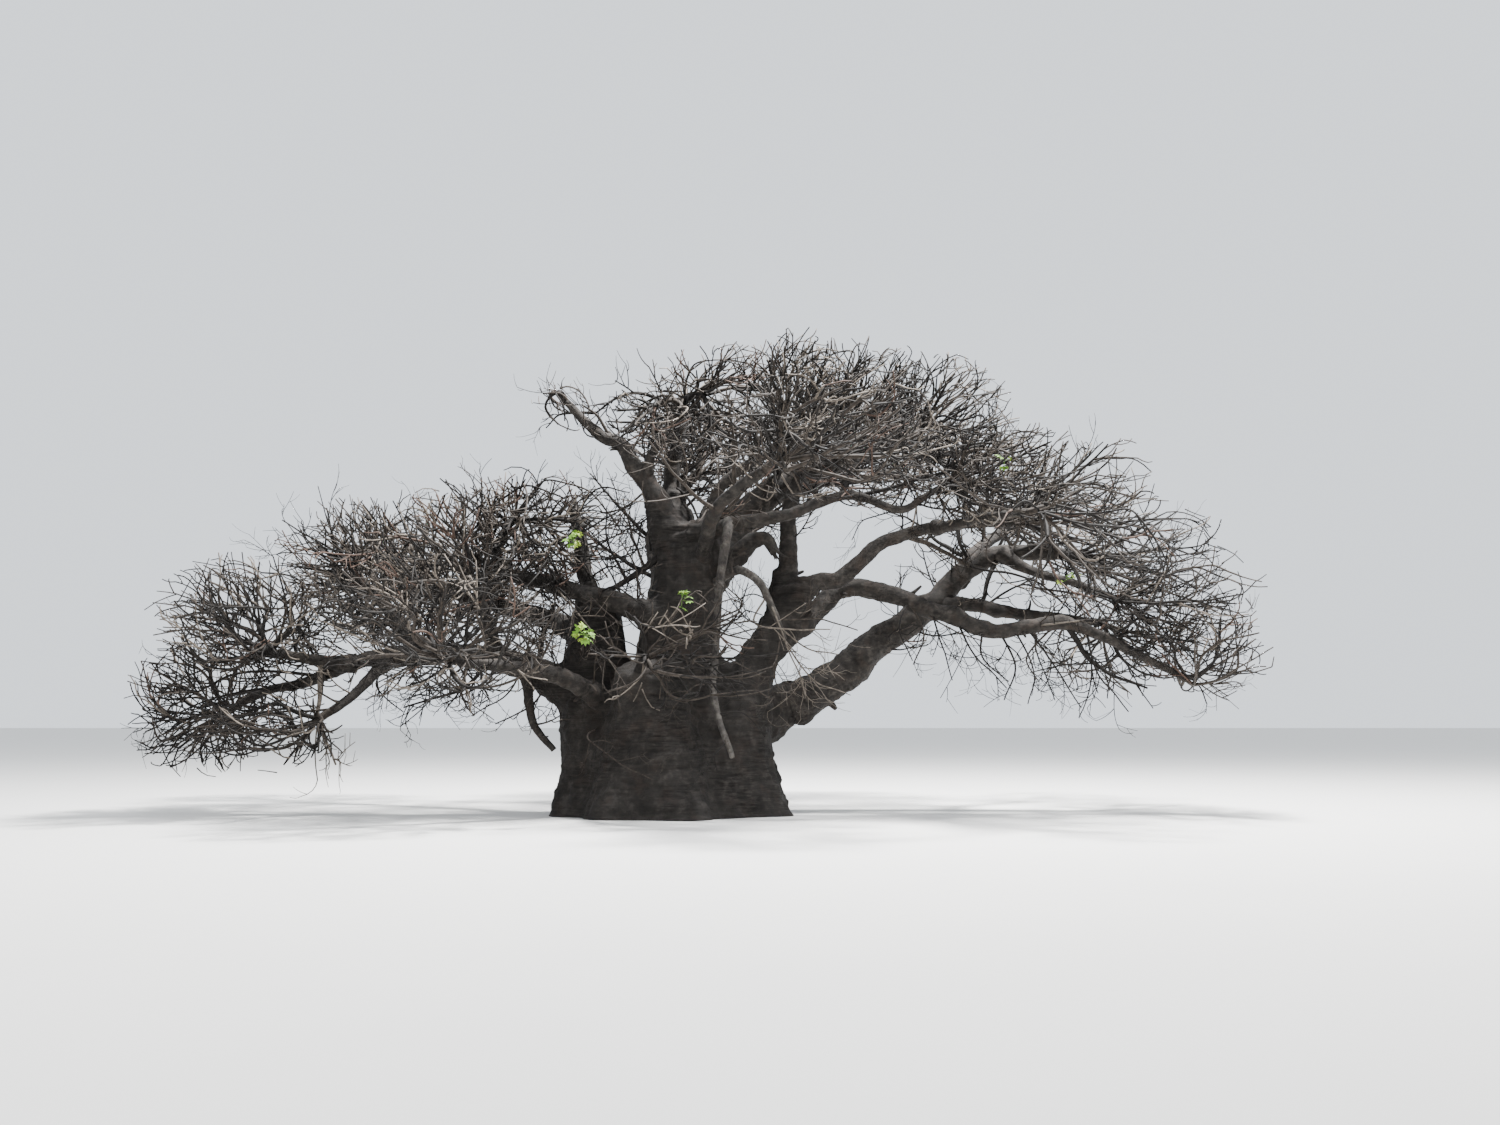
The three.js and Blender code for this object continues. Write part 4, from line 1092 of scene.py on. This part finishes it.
def leaf_tuft(batch, place, count, rng):
    """A few palm-shaped leaves of five folded leaflets on thin stalks round a twig's end."""
    for _ in range(count):
        way = unit(rng.normal(size=3) + UP * 0.5)
        foot = place + way * rng.uniform(0.05, 0.11) + rng.normal(size=3) * 0.012
        batch.tubes([np.linspace(place, foot, 4)], [np.full(4, LEAF_STALK_RADIUS)], 4, [0])
        flat = unit(rng.normal(size=3) * 0.5 + UP)
        along = unit(way - flat * (way @ flat))
        aside = np.cross(flat, along)
        tone = rng.integers(0, 2)
        for turn in np.radians(LEAFLET_TURNS):
            out = along * math.cos(turn) + aside * math.sin(turn)
            side = np.cross(flat, out)
            length = rng.uniform(*LEAFLET_LENGTHS) * (1 - 0.12 * abs(turn))
            rows = np.array([0.0, 0.3, 0.65, 1.0])
            wide = np.array([0.0, 0.9, 1.0, 0.0]) * (length * 0.21)
            mid = foot + out * (rows * length)[:, None] - flat * (rows ** 2 * length * 0.25)[:, None]
            left = mid + side * wide[:, None] + flat * (wide * 0.35)[:, None]
            right = mid - side * wide[:, None] + flat * (wide * 0.35)[:, None]
            faces = [(0, 1, 4), (1, 2, 5), (1, 5, 4), (2, 3, 5), (0, 6, 1), (1, 6, 7), (1, 7, 2), (2, 7, 3)]
            batch.add(np.vstack([mid, left[1:3], right[1:3]]), (faces, tone))


# Bark meshes

def wrinkled(points, seed):
    """Bark relief in metres for surface points: lumps, long folds, level wrinkles, knobs and grain."""
    lumps = fractal(points * 1.4, 3, seed)
    fold_space = points * np.array([4.6, 4.6, 1.1]) + 0.55 * lumps[:, None]
    folds = 1 - 2 * np.abs(fractal(fold_space, 3, seed + 11))
    level_space = points * np.array([1.7, 1.7, 19.0]) + 1.1 * lumps[:, None]
    level = 1 - 2 * np.abs(fractal(level_space, 2, seed + 23))
    x, y, z = points.T
    front_x, front_z = WRINKLED_FRONT
    front = np.exp(-((x - front_x) / 0.45) ** 2 - ((z - front_z) / 0.42) ** 2) * (y < 0)
    patch = np.clip(1.5 * fractal(points * 1.1, 2, seed + 31) + 0.30 + 1.2 * front, 0, 1.3)
    knobs = np.maximum(fractal(points * 6.5, 2, seed + 37), KNOB_LIMIT) - KNOB_LIMIT
    grain = fractal(points * 21.0, 2, seed + 43)
    return (LUMP_HEIGHT * lumps + FOLD_HEIGHT * folds + WRINKLE_HEIGHT * level * patch
            + KNOB_HEIGHT * knobs + GRAIN_HEIGHT * grain)


def crease_fill(z):
    """How far creases between stems are filled at a height: wide at the foot, narrow above."""
    share = np.clip((np.asarray(z) - CREASE_FOOT) / CREASE_FADE, 0, 1)
    return LOW_CREASE_FILL + (CREASE_FILL - LOW_CREASE_FILL) * share * share * (3 - 2 * share)


def leave_point(line, run, pieces):
    """How far along a line it last lies inside the round pieces."""
    inside = gap_to(line, pieces) < 0
    return run[len(inside) - 1 - np.argmax(inside[::-1])] if inside.any() else 0.0


def trunk_form():
    """The stems and the boughs' collars grown together into one plain mesh."""
    batch = Batch()
    for k, points in enumerate(STEMS.values()):
        centres, radii = stem_line(points, 10)
        batch.tubes([centres], [radii + crease_fill(centres[:, 2])], STEM_SIDES, [0], stem_shape(1.3 * k))
    for name, parent, root, _, _ in BOUGHS:
        if parent != "trunk":
            continue
        centres, radii = bough_lines[name]
        fine = spline(centres, spaced=lambda length: max(8, int(length / COLLAR_STEP)))
        run = run_along(fine)
        radius = np.interp(run / run[-1], np.linspace(0, 1, len(radii)), radii)
        leave = leave_point(fine, run, trunk_pieces)
        reach = COLLAR_REACH * root * MM
        keep = run <= leave + reach
        if keep.sum() < 3:
            continue
        away = np.maximum(run[keep] - leave, 0) / reach
        swell = radius[keep] * (1.0 + 0.42 * (1 - away) ** 2 - 0.30 * away ** 2) + crease_fill(fine[keep, 2])
        batch.tubes([fine[keep]], [swell], COLLAR_SIDES, [0])
    rough = batch.mesh("trunk_form", [])
    remesh = rough.modifiers.new("join", "REMESH")
    remesh.mode = "VOXEL"
    remesh.voxel_size = TRUNK_VOXEL
    smooth = rough.modifiers.new("soften", "SMOOTH")
    smooth.factor = 0.5
    smooth.iterations = 6
    graph = bpy.context.evaluated_depsgraph_get()
    joined = bpy.data.meshes.new_from_object(rough.evaluated_get(graph))
    bpy.data.objects.remove(rough)
    return joined


def vertex_rows(mesh, field):
    """A mesh's vertex places or normals as rows."""
    rows = np.empty(len(mesh.vertices) * 3)
    mesh.vertices.foreach_get(field, rows)
    return rows.reshape(-1, 3)


def pushed_out(mesh, distances):
    """Moves each vertex of a mesh along its normal."""
    verts = vertex_rows(mesh, "co")
    verts = verts + vertex_rows(mesh, "normal") * distances(verts)[:, None]
    mesh.vertices.foreach_set("co", verts.ravel())


def trunk_mesh(material):
    """The trunk with its bark relief, cut flat at the ground."""
    joined = trunk_form()
    pushed_out(joined, lambda verts: -crease_fill(verts[:, 2]))
    joined.update()
    form = bmesh.new()
    form.from_mesh(joined)
    for _ in range(12):
        bmesh.ops.smooth_vert(form, verts=form.verts[:], factor=0.5,
                              use_axis_x=True, use_axis_y=True, use_axis_z=True)
    form.to_mesh(joined)
    form.free()
    joined.update()
    pushed_out(joined, lambda verts: wrinkled(verts, 5) * np.clip(verts[:, 2] / 0.15, 0.35, 1))
    form = bmesh.new()
    form.from_mesh(joined)
    everything = form.verts[:] + form.edges[:] + form.faces[:]
    bmesh.ops.bisect_plane(form, geom=everything, plane_co=(0, 0, CUT_HEIGHT), plane_no=(0, 0, 1),
                           clear_inner=True)
    rim = [edge for edge in form.edges if edge.is_boundary]
    bmesh.ops.holes_fill(form, edges=rim, sides=0)
    for face in form.faces:
        face.smooth = True
    form.to_mesh(joined)
    form.free()
    joined.name = "trunk_bark"
    joined.materials.clear()
    return placed("trunk_bark", joined, [material])


def crooked(centres, radii, seed):
    """A limb's line with small crooks that leave its two ends in place."""
    run = run_along(centres)
    ends = np.clip(np.minimum(run, run[-1] - run) / 0.35, 0, 1)
    size = (CROOK + CROOK_PER_RADIUS * radii) * ends
    sway = np.zeros_like(centres)
    for axis in range(3):
        for wave, share in ((0.62, 1.0), (0.24, 0.35)):
            place = np.stack([run / wave, 0 * run + 0.37 + axis, 0 * run + 0.61], axis=1)
            sway[:, axis] += share * noise(place, seed + 17 * axis)
    return centres + sway * size[:, None]


def fine_bough(name, crook_radius=None):
    """Fine centres and radii of one bough, with crooks to suit its radii or the one given."""
    _, _, root, tip, ways = BOUGH_ROWS[name]
    centres = spline(np.array(ways, float) * MM, spaced=lambda length: max(6, int(length / RING_STEP)))
    radii = np.linspace(root, tip, len(centres)) * MM
    crook_radii = radii if crook_radius is None else np.full(len(centres), crook_radius * MM)
    return crooked(centres, crook_radii, len(name) + 3 * root), radii


def bough_path(name):
    """Fine centres and radii of a bough, run on into the bough that continues it."""
    centres, radii = fine_bough(name)
    for later, first in RUN_ON.items():
        if first == name:
            line, more = fine_bough(later, BOUGH_ROWS[later][3])
            centres = np.vstack([centres, line[1:]])
            radii = np.concatenate([radii, more[1:]])
    return centres, radii


def knobbly(run, radii, seed, rng):
    """The outline of a bough's bark: lumps, bands, ridges and seeded knobs."""
    count = int(run[-1] * KNOBS_PER_METRE)
    at = rng.uniform(0, run[-1], count)
    turn = rng.uniform(0, 2 * math.pi, count)
    height = rng.uniform(0.08, 0.30, count) ** 1.2
    width = np.interp(at, run, radii) * rng.uniform(0.45, 1.0, count) + 0.015

    def shape(lines, ring, angle):
        n, m, s = ring.shape[:3]
        surface = (lines[:, :, None] + ring * radii[None, :, None, None]).reshape(-1, 3)
        lumps = fractal(surface * 5.0, 3, seed)
        round_it = np.stack([np.repeat(run, s) * 28, np.tile(np.cos(angle), m), np.tile(np.sin(angle), m)], 1)
        bands = noise(round_it, seed + 5)
        ridge = fractal(surface * 16.0, 2, seed + 9)
        apart = (angle[None, :, None] - turn + math.pi) % (2 * math.pi) - math.pi
        nearness = np.exp(-((run[:, None, None] - at) / width) ** 2 - (apart / 0.6) ** 2)
        knobs = np.sum(height * nearness, axis=2)
        return (1 + 0.15 * lumps + 0.04 * bands + 0.06 * ridge).reshape(n, m, s) + knobs
    return shape


def bough_meshes(names, piece_name, material):
    """Boughs as fine tubes with knobbly bark relief and a collar where they leave their parent."""
    batch = Batch()
    for order, name in enumerate(names):
        if name in RUN_ON:
            continue
        parent = BOUGH_ROWS[name][1]
        centres, radii = bough_path(name)
        run = run_along(centres)
        pieces = trunk_pieces if parent == "trunk" else round_pieces([bough_lines[parent]])
        away = np.maximum(run - leave_point(centres, run, pieces), 0)
        collar = TRUNK_COLLAR if parent == "trunk" else BOUGH_COLLAR
        thick = radii * (1 + collar * np.exp(-away / (1.3 * radii[0])))
        seed = 61 + 7 * order
        rng = np.random.default_rng(seed)
        sides = THICK_BOUGH_SIDES if radii[0] > THICK_BOUGH else SLIM_BOUGH_SIDES
        batch.tubes([centres], [thick], sides, [0], knobbly(run, radii, seed, rng))

        spurs = rng.uniform(0.12, 0.98, int(run[-1] * SPURS_PER_METRE)) * run[-1]
        k, way = ways_at(centres, run, spurs)
        aside = across(way, rng)
        base = np.interp(spurs, run, radii)
        size = rng.uniform(0.05, 0.16, len(k)) + base * 0.2
        lines = shoots(centres[k] + aside * base[:, None] * 0.8, way * 0.5, aside, size, rng, 0.2, 4)
        thick = (base * 0.16 + 0.006)[:, None] * np.array([1.5, 1.0, 0.85, 0.6])
        batch.tubes(lines, thick, 7, np.zeros(len(k), int))
        if name in BARE_BOUGHS:
            way = np.repeat(unit(centres[-1] - centres[-2])[None], SPLINTERS, 0)
            aside = across(way, rng)
            roots = centres[-1] + aside * radii[-1] * rng.uniform(0.2, 0.7, SPLINTERS)[:, None] - way * 0.04
            lines = shoots(roots, way, aside * 0.12, rng.uniform(0.10, 0.22, SPLINTERS), rng, 0.0, 4)
            thick = radii[-1] * 0.42 * np.array([[1.0, 0.8, 0.5, 0.06]] * SPLINTERS)
            batch.tubes(lines, thick, 6, np.zeros(SPLINTERS, int))
    return batch.mesh(piece_name, [material])


# Materials

class Surface:
    """A material in the making, with helpers for its nodes."""

    def __init__(self, name, specular):
        self.material = bpy.data.materials.new(name)
        self.material.use_nodes = True
        self.nodes = self.material.node_tree.nodes
        self.shader = self.nodes["Principled BSDF"].inputs
        self.feed(self.shader["Specular IOR Level"], specular)
        self.place = self.nodes.new("ShaderNodeTexCoord").outputs["Object"]

    def feed(self, socket, value):
        """Links a node's output to a socket, or sets the socket to a plain value."""
        if isinstance(value, bpy.types.NodeSocket):
            self.material.node_tree.links.new(value, socket)
        else:
            socket.default_value = value

    def node(self, kind, settings, inputs, output):
        """A new node's output."""
        made = self.nodes.new("ShaderNode" + kind)
        for field, value in settings.items():
            setattr(made, field, value)
        for socket, value in inputs.items():
            self.feed(made.inputs[socket], value)
        return made.outputs[output]

    def noise(self, scale, detail, stretch=(1, 1, 1)):
        """A noise texture in object space, squeezed along the axes."""
        vector = self.node("Mapping", {}, {"Scale": stretch, "Vector": self.place}, "Vector")
        inputs = {"Scale": scale, "Detail": detail, "Roughness": 0.62, "Vector": vector}
        return self.node("TexNoise", {}, inputs, "Fac")

    def limited(self, value, low, high, least, most):
        """A value spread from low..high to least..most."""
        inputs = {"From Min": low, "From Max": high, "To Min": least, "To Max": most, "Value": value}
        return self.node("MapRange", {}, inputs, "Result")

    def mixed(self, blend, factor, a, b):
        """Two colours mixed by a factor."""
        settings = {"data_type": "RGBA", "blend_type": blend}
        return self.node("Mix", settings, {"Factor": factor, "A": a, "B": b}, "Result")

    def finish(self, colour, strength, distance, height):
        """Joins the colour and the bump to the shader."""
        self.feed(self.shader["Base Color"], colour)
        inputs = {"Strength": strength, "Distance": distance, "Height": height}
        self.feed(self.shader["Normal"], self.node("Bump", {}, inputs, "Normal"))
        return self.material


def bark(name, tones, red, roughness, scale, bump, wrinkle):
    """Three tones mixed by noise, reddish patches, painted shade in the bump's creases drawn out by wrinkle,
    and a fine bump.
    """
    surface = Surface(name, 0.25)
    tone = surface.noise(scale, 10)
    ramp = surface.nodes.new("ShaderNodeValToRGB")
    steps = ramp.color_ramp.elements
    steps.new(0.52)
    for step, position, colour in zip(steps, (0.36, 0.52, 0.66), tones):
        step.position = position
        step.color = (*colour, 1)
    surface.feed(ramp.inputs["Fac"], tone)
    patch = surface.limited(surface.noise(scale * 0.45, 6), 0.52, 0.70, 0.0, 0.65)
    reddened = surface.mixed("MIX", patch, ramp.outputs["Color"], (*red, 1))
    # Painted shade: the colour is darkened, in noisy patches, where the crease noise sinks the bump.
    crease = surface.noise(scale, 6, wrinkle)
    painted_crease_shade = surface.limited(crease, 0.54, 0.40, 0.0, 0.9)
    where = surface.limited(surface.noise(scale * 0.2, 3), 0.42, 0.62, 0.05, 1.0)
    shown = surface.node("Math", {"operation": "MULTIPLY"}, {0: painted_crease_shade, 1: where}, "Value")
    crease_shaded = surface.mixed("MULTIPLY", shown, reddened, (0.35, 0.32, 0.30, 1))
    uneven = surface.limited(tone, 0.35, 0.65, roughness - 0.06, roughness + 0.05)
    surface.feed(surface.shader["Roughness"], uneven)
    fine = surface.noise(scale * 9, 6, (1, 1, 2.2))
    height = surface.node("Math", {"operation": "MULTIPLY_ADD"}, {0: crease, 1: 1.3, 2: fine}, "Value")
    return surface.finish(crease_shaded, bump, 0.020, height)


def mottled(name, colour, roughness, scale=16.0, depth=0.45):
    """One tone that fine noise darkens and lightens by a share of depth, on a slightly uneven surface."""
    surface = Surface(name, 0.2)
    surface.feed(surface.shader["Roughness"], roughness)
    share = surface.limited(surface.noise(scale, 6), 0.35, 0.65, 0.0, 1.0)
    dark, light = ((*(c * (1 + change) for c in colour), 1) for change in (-depth, depth))
    return surface.finish(surface.mixed("MIX", share, dark, light), 0.4, 0.004, surface.noise(scale * 5, 4))


# Trunk and boughs

BOUGH_ROWS = {row[0]: row for row in BOUGHS}
stem_lines = {name: stem_line(points, 2) for name, points in STEMS.items()}
bough_lines = {name: bough_line(ways, root, tip) for name, _, root, tip, ways in BOUGHS}
trunk_pieces = round_pieces(stem_lines.values())
limb_pieces = round_pieces(list(stem_lines.values()) + list(bough_lines.values()))
masses = masses_with_main_twigs()

trunk_material = bark("trunk_bark", [(0.015, 0.013, 0.0115), (0.024, 0.021, 0.0185), (0.042, 0.037, 0.033)],
                      (0.034, 0.024, 0.019), 0.9, 7.0, 0.8, (0.7, 0.7, 6.5))
bough_material = bark("bough_bark", [(0.016, 0.0135, 0.012), (0.028, 0.0245, 0.0215), (0.054, 0.047, 0.041)],
                      (0.042, 0.030, 0.023), 0.88, 10.0, 0.6, (1.5, 1.5, 3.0))
dead_material = bark("dead_bark", [(0.026, 0.023, 0.021), (0.058, 0.052, 0.046), (0.110, 0.100, 0.089)],
                     (0.052, 0.040, 0.032), 0.86, 12.0, 0.6, (2.5, 2.5, 1.2))
# The dark and the pale twig barks are partly painted light: a darker and a paler copy of the brown bark that
# stand in for shaded inner twigs and sunlit twigs.
twig_materials = [
    mottled("twig_dark_and_painted_shade", (0.013, 0.0112, 0.010), 0.85),
    mottled("twig_brown", (0.034, 0.0275, 0.0225), 0.82),
    mottled("twig_pale_and_painted_sunlight", (0.112, 0.094, 0.077), 0.8),
    mottled("twig_red", (0.066, 0.042, 0.032), 0.8),
]

trunk = trunk_mesh(trunk_material)
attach(trunk, "root")
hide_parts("trunk")

living = [row[0] for row in BOUGHS if row[0] not in DEAD_BOUGHS]
boughs = bough_meshes(living, "bough_bark", bough_material)
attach(boughs, "root")
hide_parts(*living)
dead = bough_meshes(DEAD_BOUGHS, "dead_bark", dead_material)
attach(dead, "root")
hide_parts(*DEAD_BOUGHS)


# Twigs and leaves

def zone_of(tip):
    """The zone of twig pieces that a limb's side twigs join, from where the limb ends."""
    return min(masses, key=lambda mass: outness(tip, mass))["zone"]


def inside_box(lines):
    """Which lines stay inside the source's own extent."""
    low, high = np.array(CAD_BOX)
    return np.all((lines > low - BOX_ROOM) & (lines < high + BOX_ROOM), axis=(1, 2))


def clear_lines(lines):
    """Which lines end clear of the limbs, stay above the ground and keep to the source's extent."""
    near = gap_to(lines[:, -1], limb_pieces)
    return (near > TIP_ROOM) & (lines[..., 2].min(axis=1) > LOWEST_TWIG) & inside_box(lines)


def mass_twigs(mass, rng, thick_twigs, fine_twigs):
    """Adds a mass's chains and finer twigs to the two batches, and gives the finer twigs' ends."""
    volume = ELLIPSOID_SHARE * np.prod(mass["half"])
    mass["fine_count"] = int(BUDS_PER_CUBIC_METRE * mass["fullness"] * volume)
    grow_fine(mass, rng)
    tint = rng.choice(4, size=TINTS, p=TWIG_SHARES)
    add_chains(thick_twigs, mass, tint)
    ends = []
    for lines, thick, roots in twiglets(mass, rng):
        near_mass = outness(lines, mass).max(axis=1) < MASS_REACH
        keep = near_mass & (lines[..., 2].min(axis=1) > LOWEST_TWIGLET) & inside_box(lines)
        fine_twigs.tubes(lines[keep], thick[keep], 3, tint[mass["sprays"][roots[keep]]])
        ends.append(lines[keep][:, -1])
    return ends


twig_ends = []
made_limbs = side_limbs() + spread_limbs()
for zone_order, zone in enumerate(ZONES):
    thick_twigs = Batch()
    fine_twigs = Batch()
    zone_masses = [mass for mass in masses if mass["zone"] == zone]
    names = [mass["name"] for mass in zone_masses]
    for order, mass in enumerate(zone_masses):
        rng = np.random.default_rng(1000 * zone_order + 10 * order + 7)
        twig_ends += mass_twigs(mass, rng, thick_twigs, fine_twigs)
    for order, (name, *_) in enumerate(BOUGHS):
        if name in DEAD_BOUGHS or name in BARE_BOUGHS or zone_of(bough_lines[name][0][-1]) != zone:
            continue
        rng = np.random.default_rng(5000 + order)
        for lines, thick in bough_sprays(name, rng):
            keep = clear_lines(lines)
            fine_twigs.tubes(lines[keep], thick[keep], 4, rng.choice(4, size=int(keep.sum()), p=TWIG_SHARES))
    for order, (kind, line, thick) in enumerate(made_limbs):
        if zone_of(line[-1]) != zone:
            continue
        thick_twigs.tubes([line], [thick], 8, [kind])
        for lines, slim in forks_on(line, thick, np.random.default_rng(7000 + order)):
            keep = clear_lines(lines)
            fine_twigs.tubes(lines[keep], slim[keep], 3, np.full(int(keep.sum()), kind))
    for piece in (thick_twigs.mesh("twigs_" + zone, twig_materials),
                  fine_twigs.mesh("fine_twigs_" + zone, twig_materials)):
        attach(piece, "root")
        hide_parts(*names)

leaves = Batch()
twig_ends = np.concatenate(twig_ends)
columns, rows, depths = seen_at(twig_ends)
for order, (column, row, count) in enumerate(LEAF_TUFTS):
    miss = np.hypot(columns - column, rows - row)
    best = int(np.argmin(miss * 0.35 + depths))
    leaf_tuft(leaves, twig_ends[best], count, np.random.default_rng(900 + order))
leaf_piece = leaves.mesh("leaf_tufts", [mottled("leaf_green", (0.110, 0.220, 0.028), 0.6, 30.0, 0.3),
                                        mottled("leaf_yellow_green", (0.230, 0.320, 0.045), 0.6, 30.0, 0.3)])
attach(leaf_piece, "root")
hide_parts("left_crest_twigs", "front_skirt_twigs", "shoulder_twigs", "right_middle_twigs")

# Stage

floor_data = bpy.data.meshes.new("floor")
corners = [(-FLOOR_HALF, -FLOOR_HALF, 0), (FLOOR_HALF, -FLOOR_HALF, 0),
           (FLOOR_HALF, FLOOR_HALF, 0), (-FLOOR_HALF, FLOOR_HALF, 0)]
floor_data.from_pydata(corners, [], [(0, 1, 2, 3)])
floor = placed("floor", floor_data, [mottled("floor", (0.66, 0.65, 0.63), 0.9, 0.5, 0.01)])

world = bpy.data.worlds.new("studio")
bpy.context.scene.world = world
world.use_nodes = True
background = world.node_tree.nodes["Background"].inputs
background["Color"].default_value = (0.80, 0.85, 0.91, 1)
background["Strength"].default_value = 1.65

# Each light: place, what it points at, size in metres and power in watts.
LIGHTS = {
    "key": [(5.0, 1.0, 18.0), (0.4, 0.0, 3.0), 2.0, 24000.0],
    "fill": [(-9.0, -16.0, 9.0), (0.4, 0.0, 2.5), 10.0, 900.0],
}
for name, (place, aim, size, power) in LIGHTS.items():
    light_data = bpy.data.lights.new(name, "AREA")
    light_data.size = size
    light_data.energy = power
    light = placed(name, light_data, [])
    light.location = place
    light.rotation_euler = (Vector(aim) - Vector(place)).to_track_quat("-Z", "Y").to_euler()

camera_data = bpy.data.cameras.new("camera")
camera_data.sensor_width = SENSOR
camera_data.lens = FOCAL_PIXELS / PICTURE_WIDTH * SENSOR
camera_data.clip_end = 300
camera = placed("camera", camera_data, [])
camera.location = EYE
camera.rotation_euler = (math.pi / 2 + PITCH, 0, 0)
bpy.context.scene.camera = camera
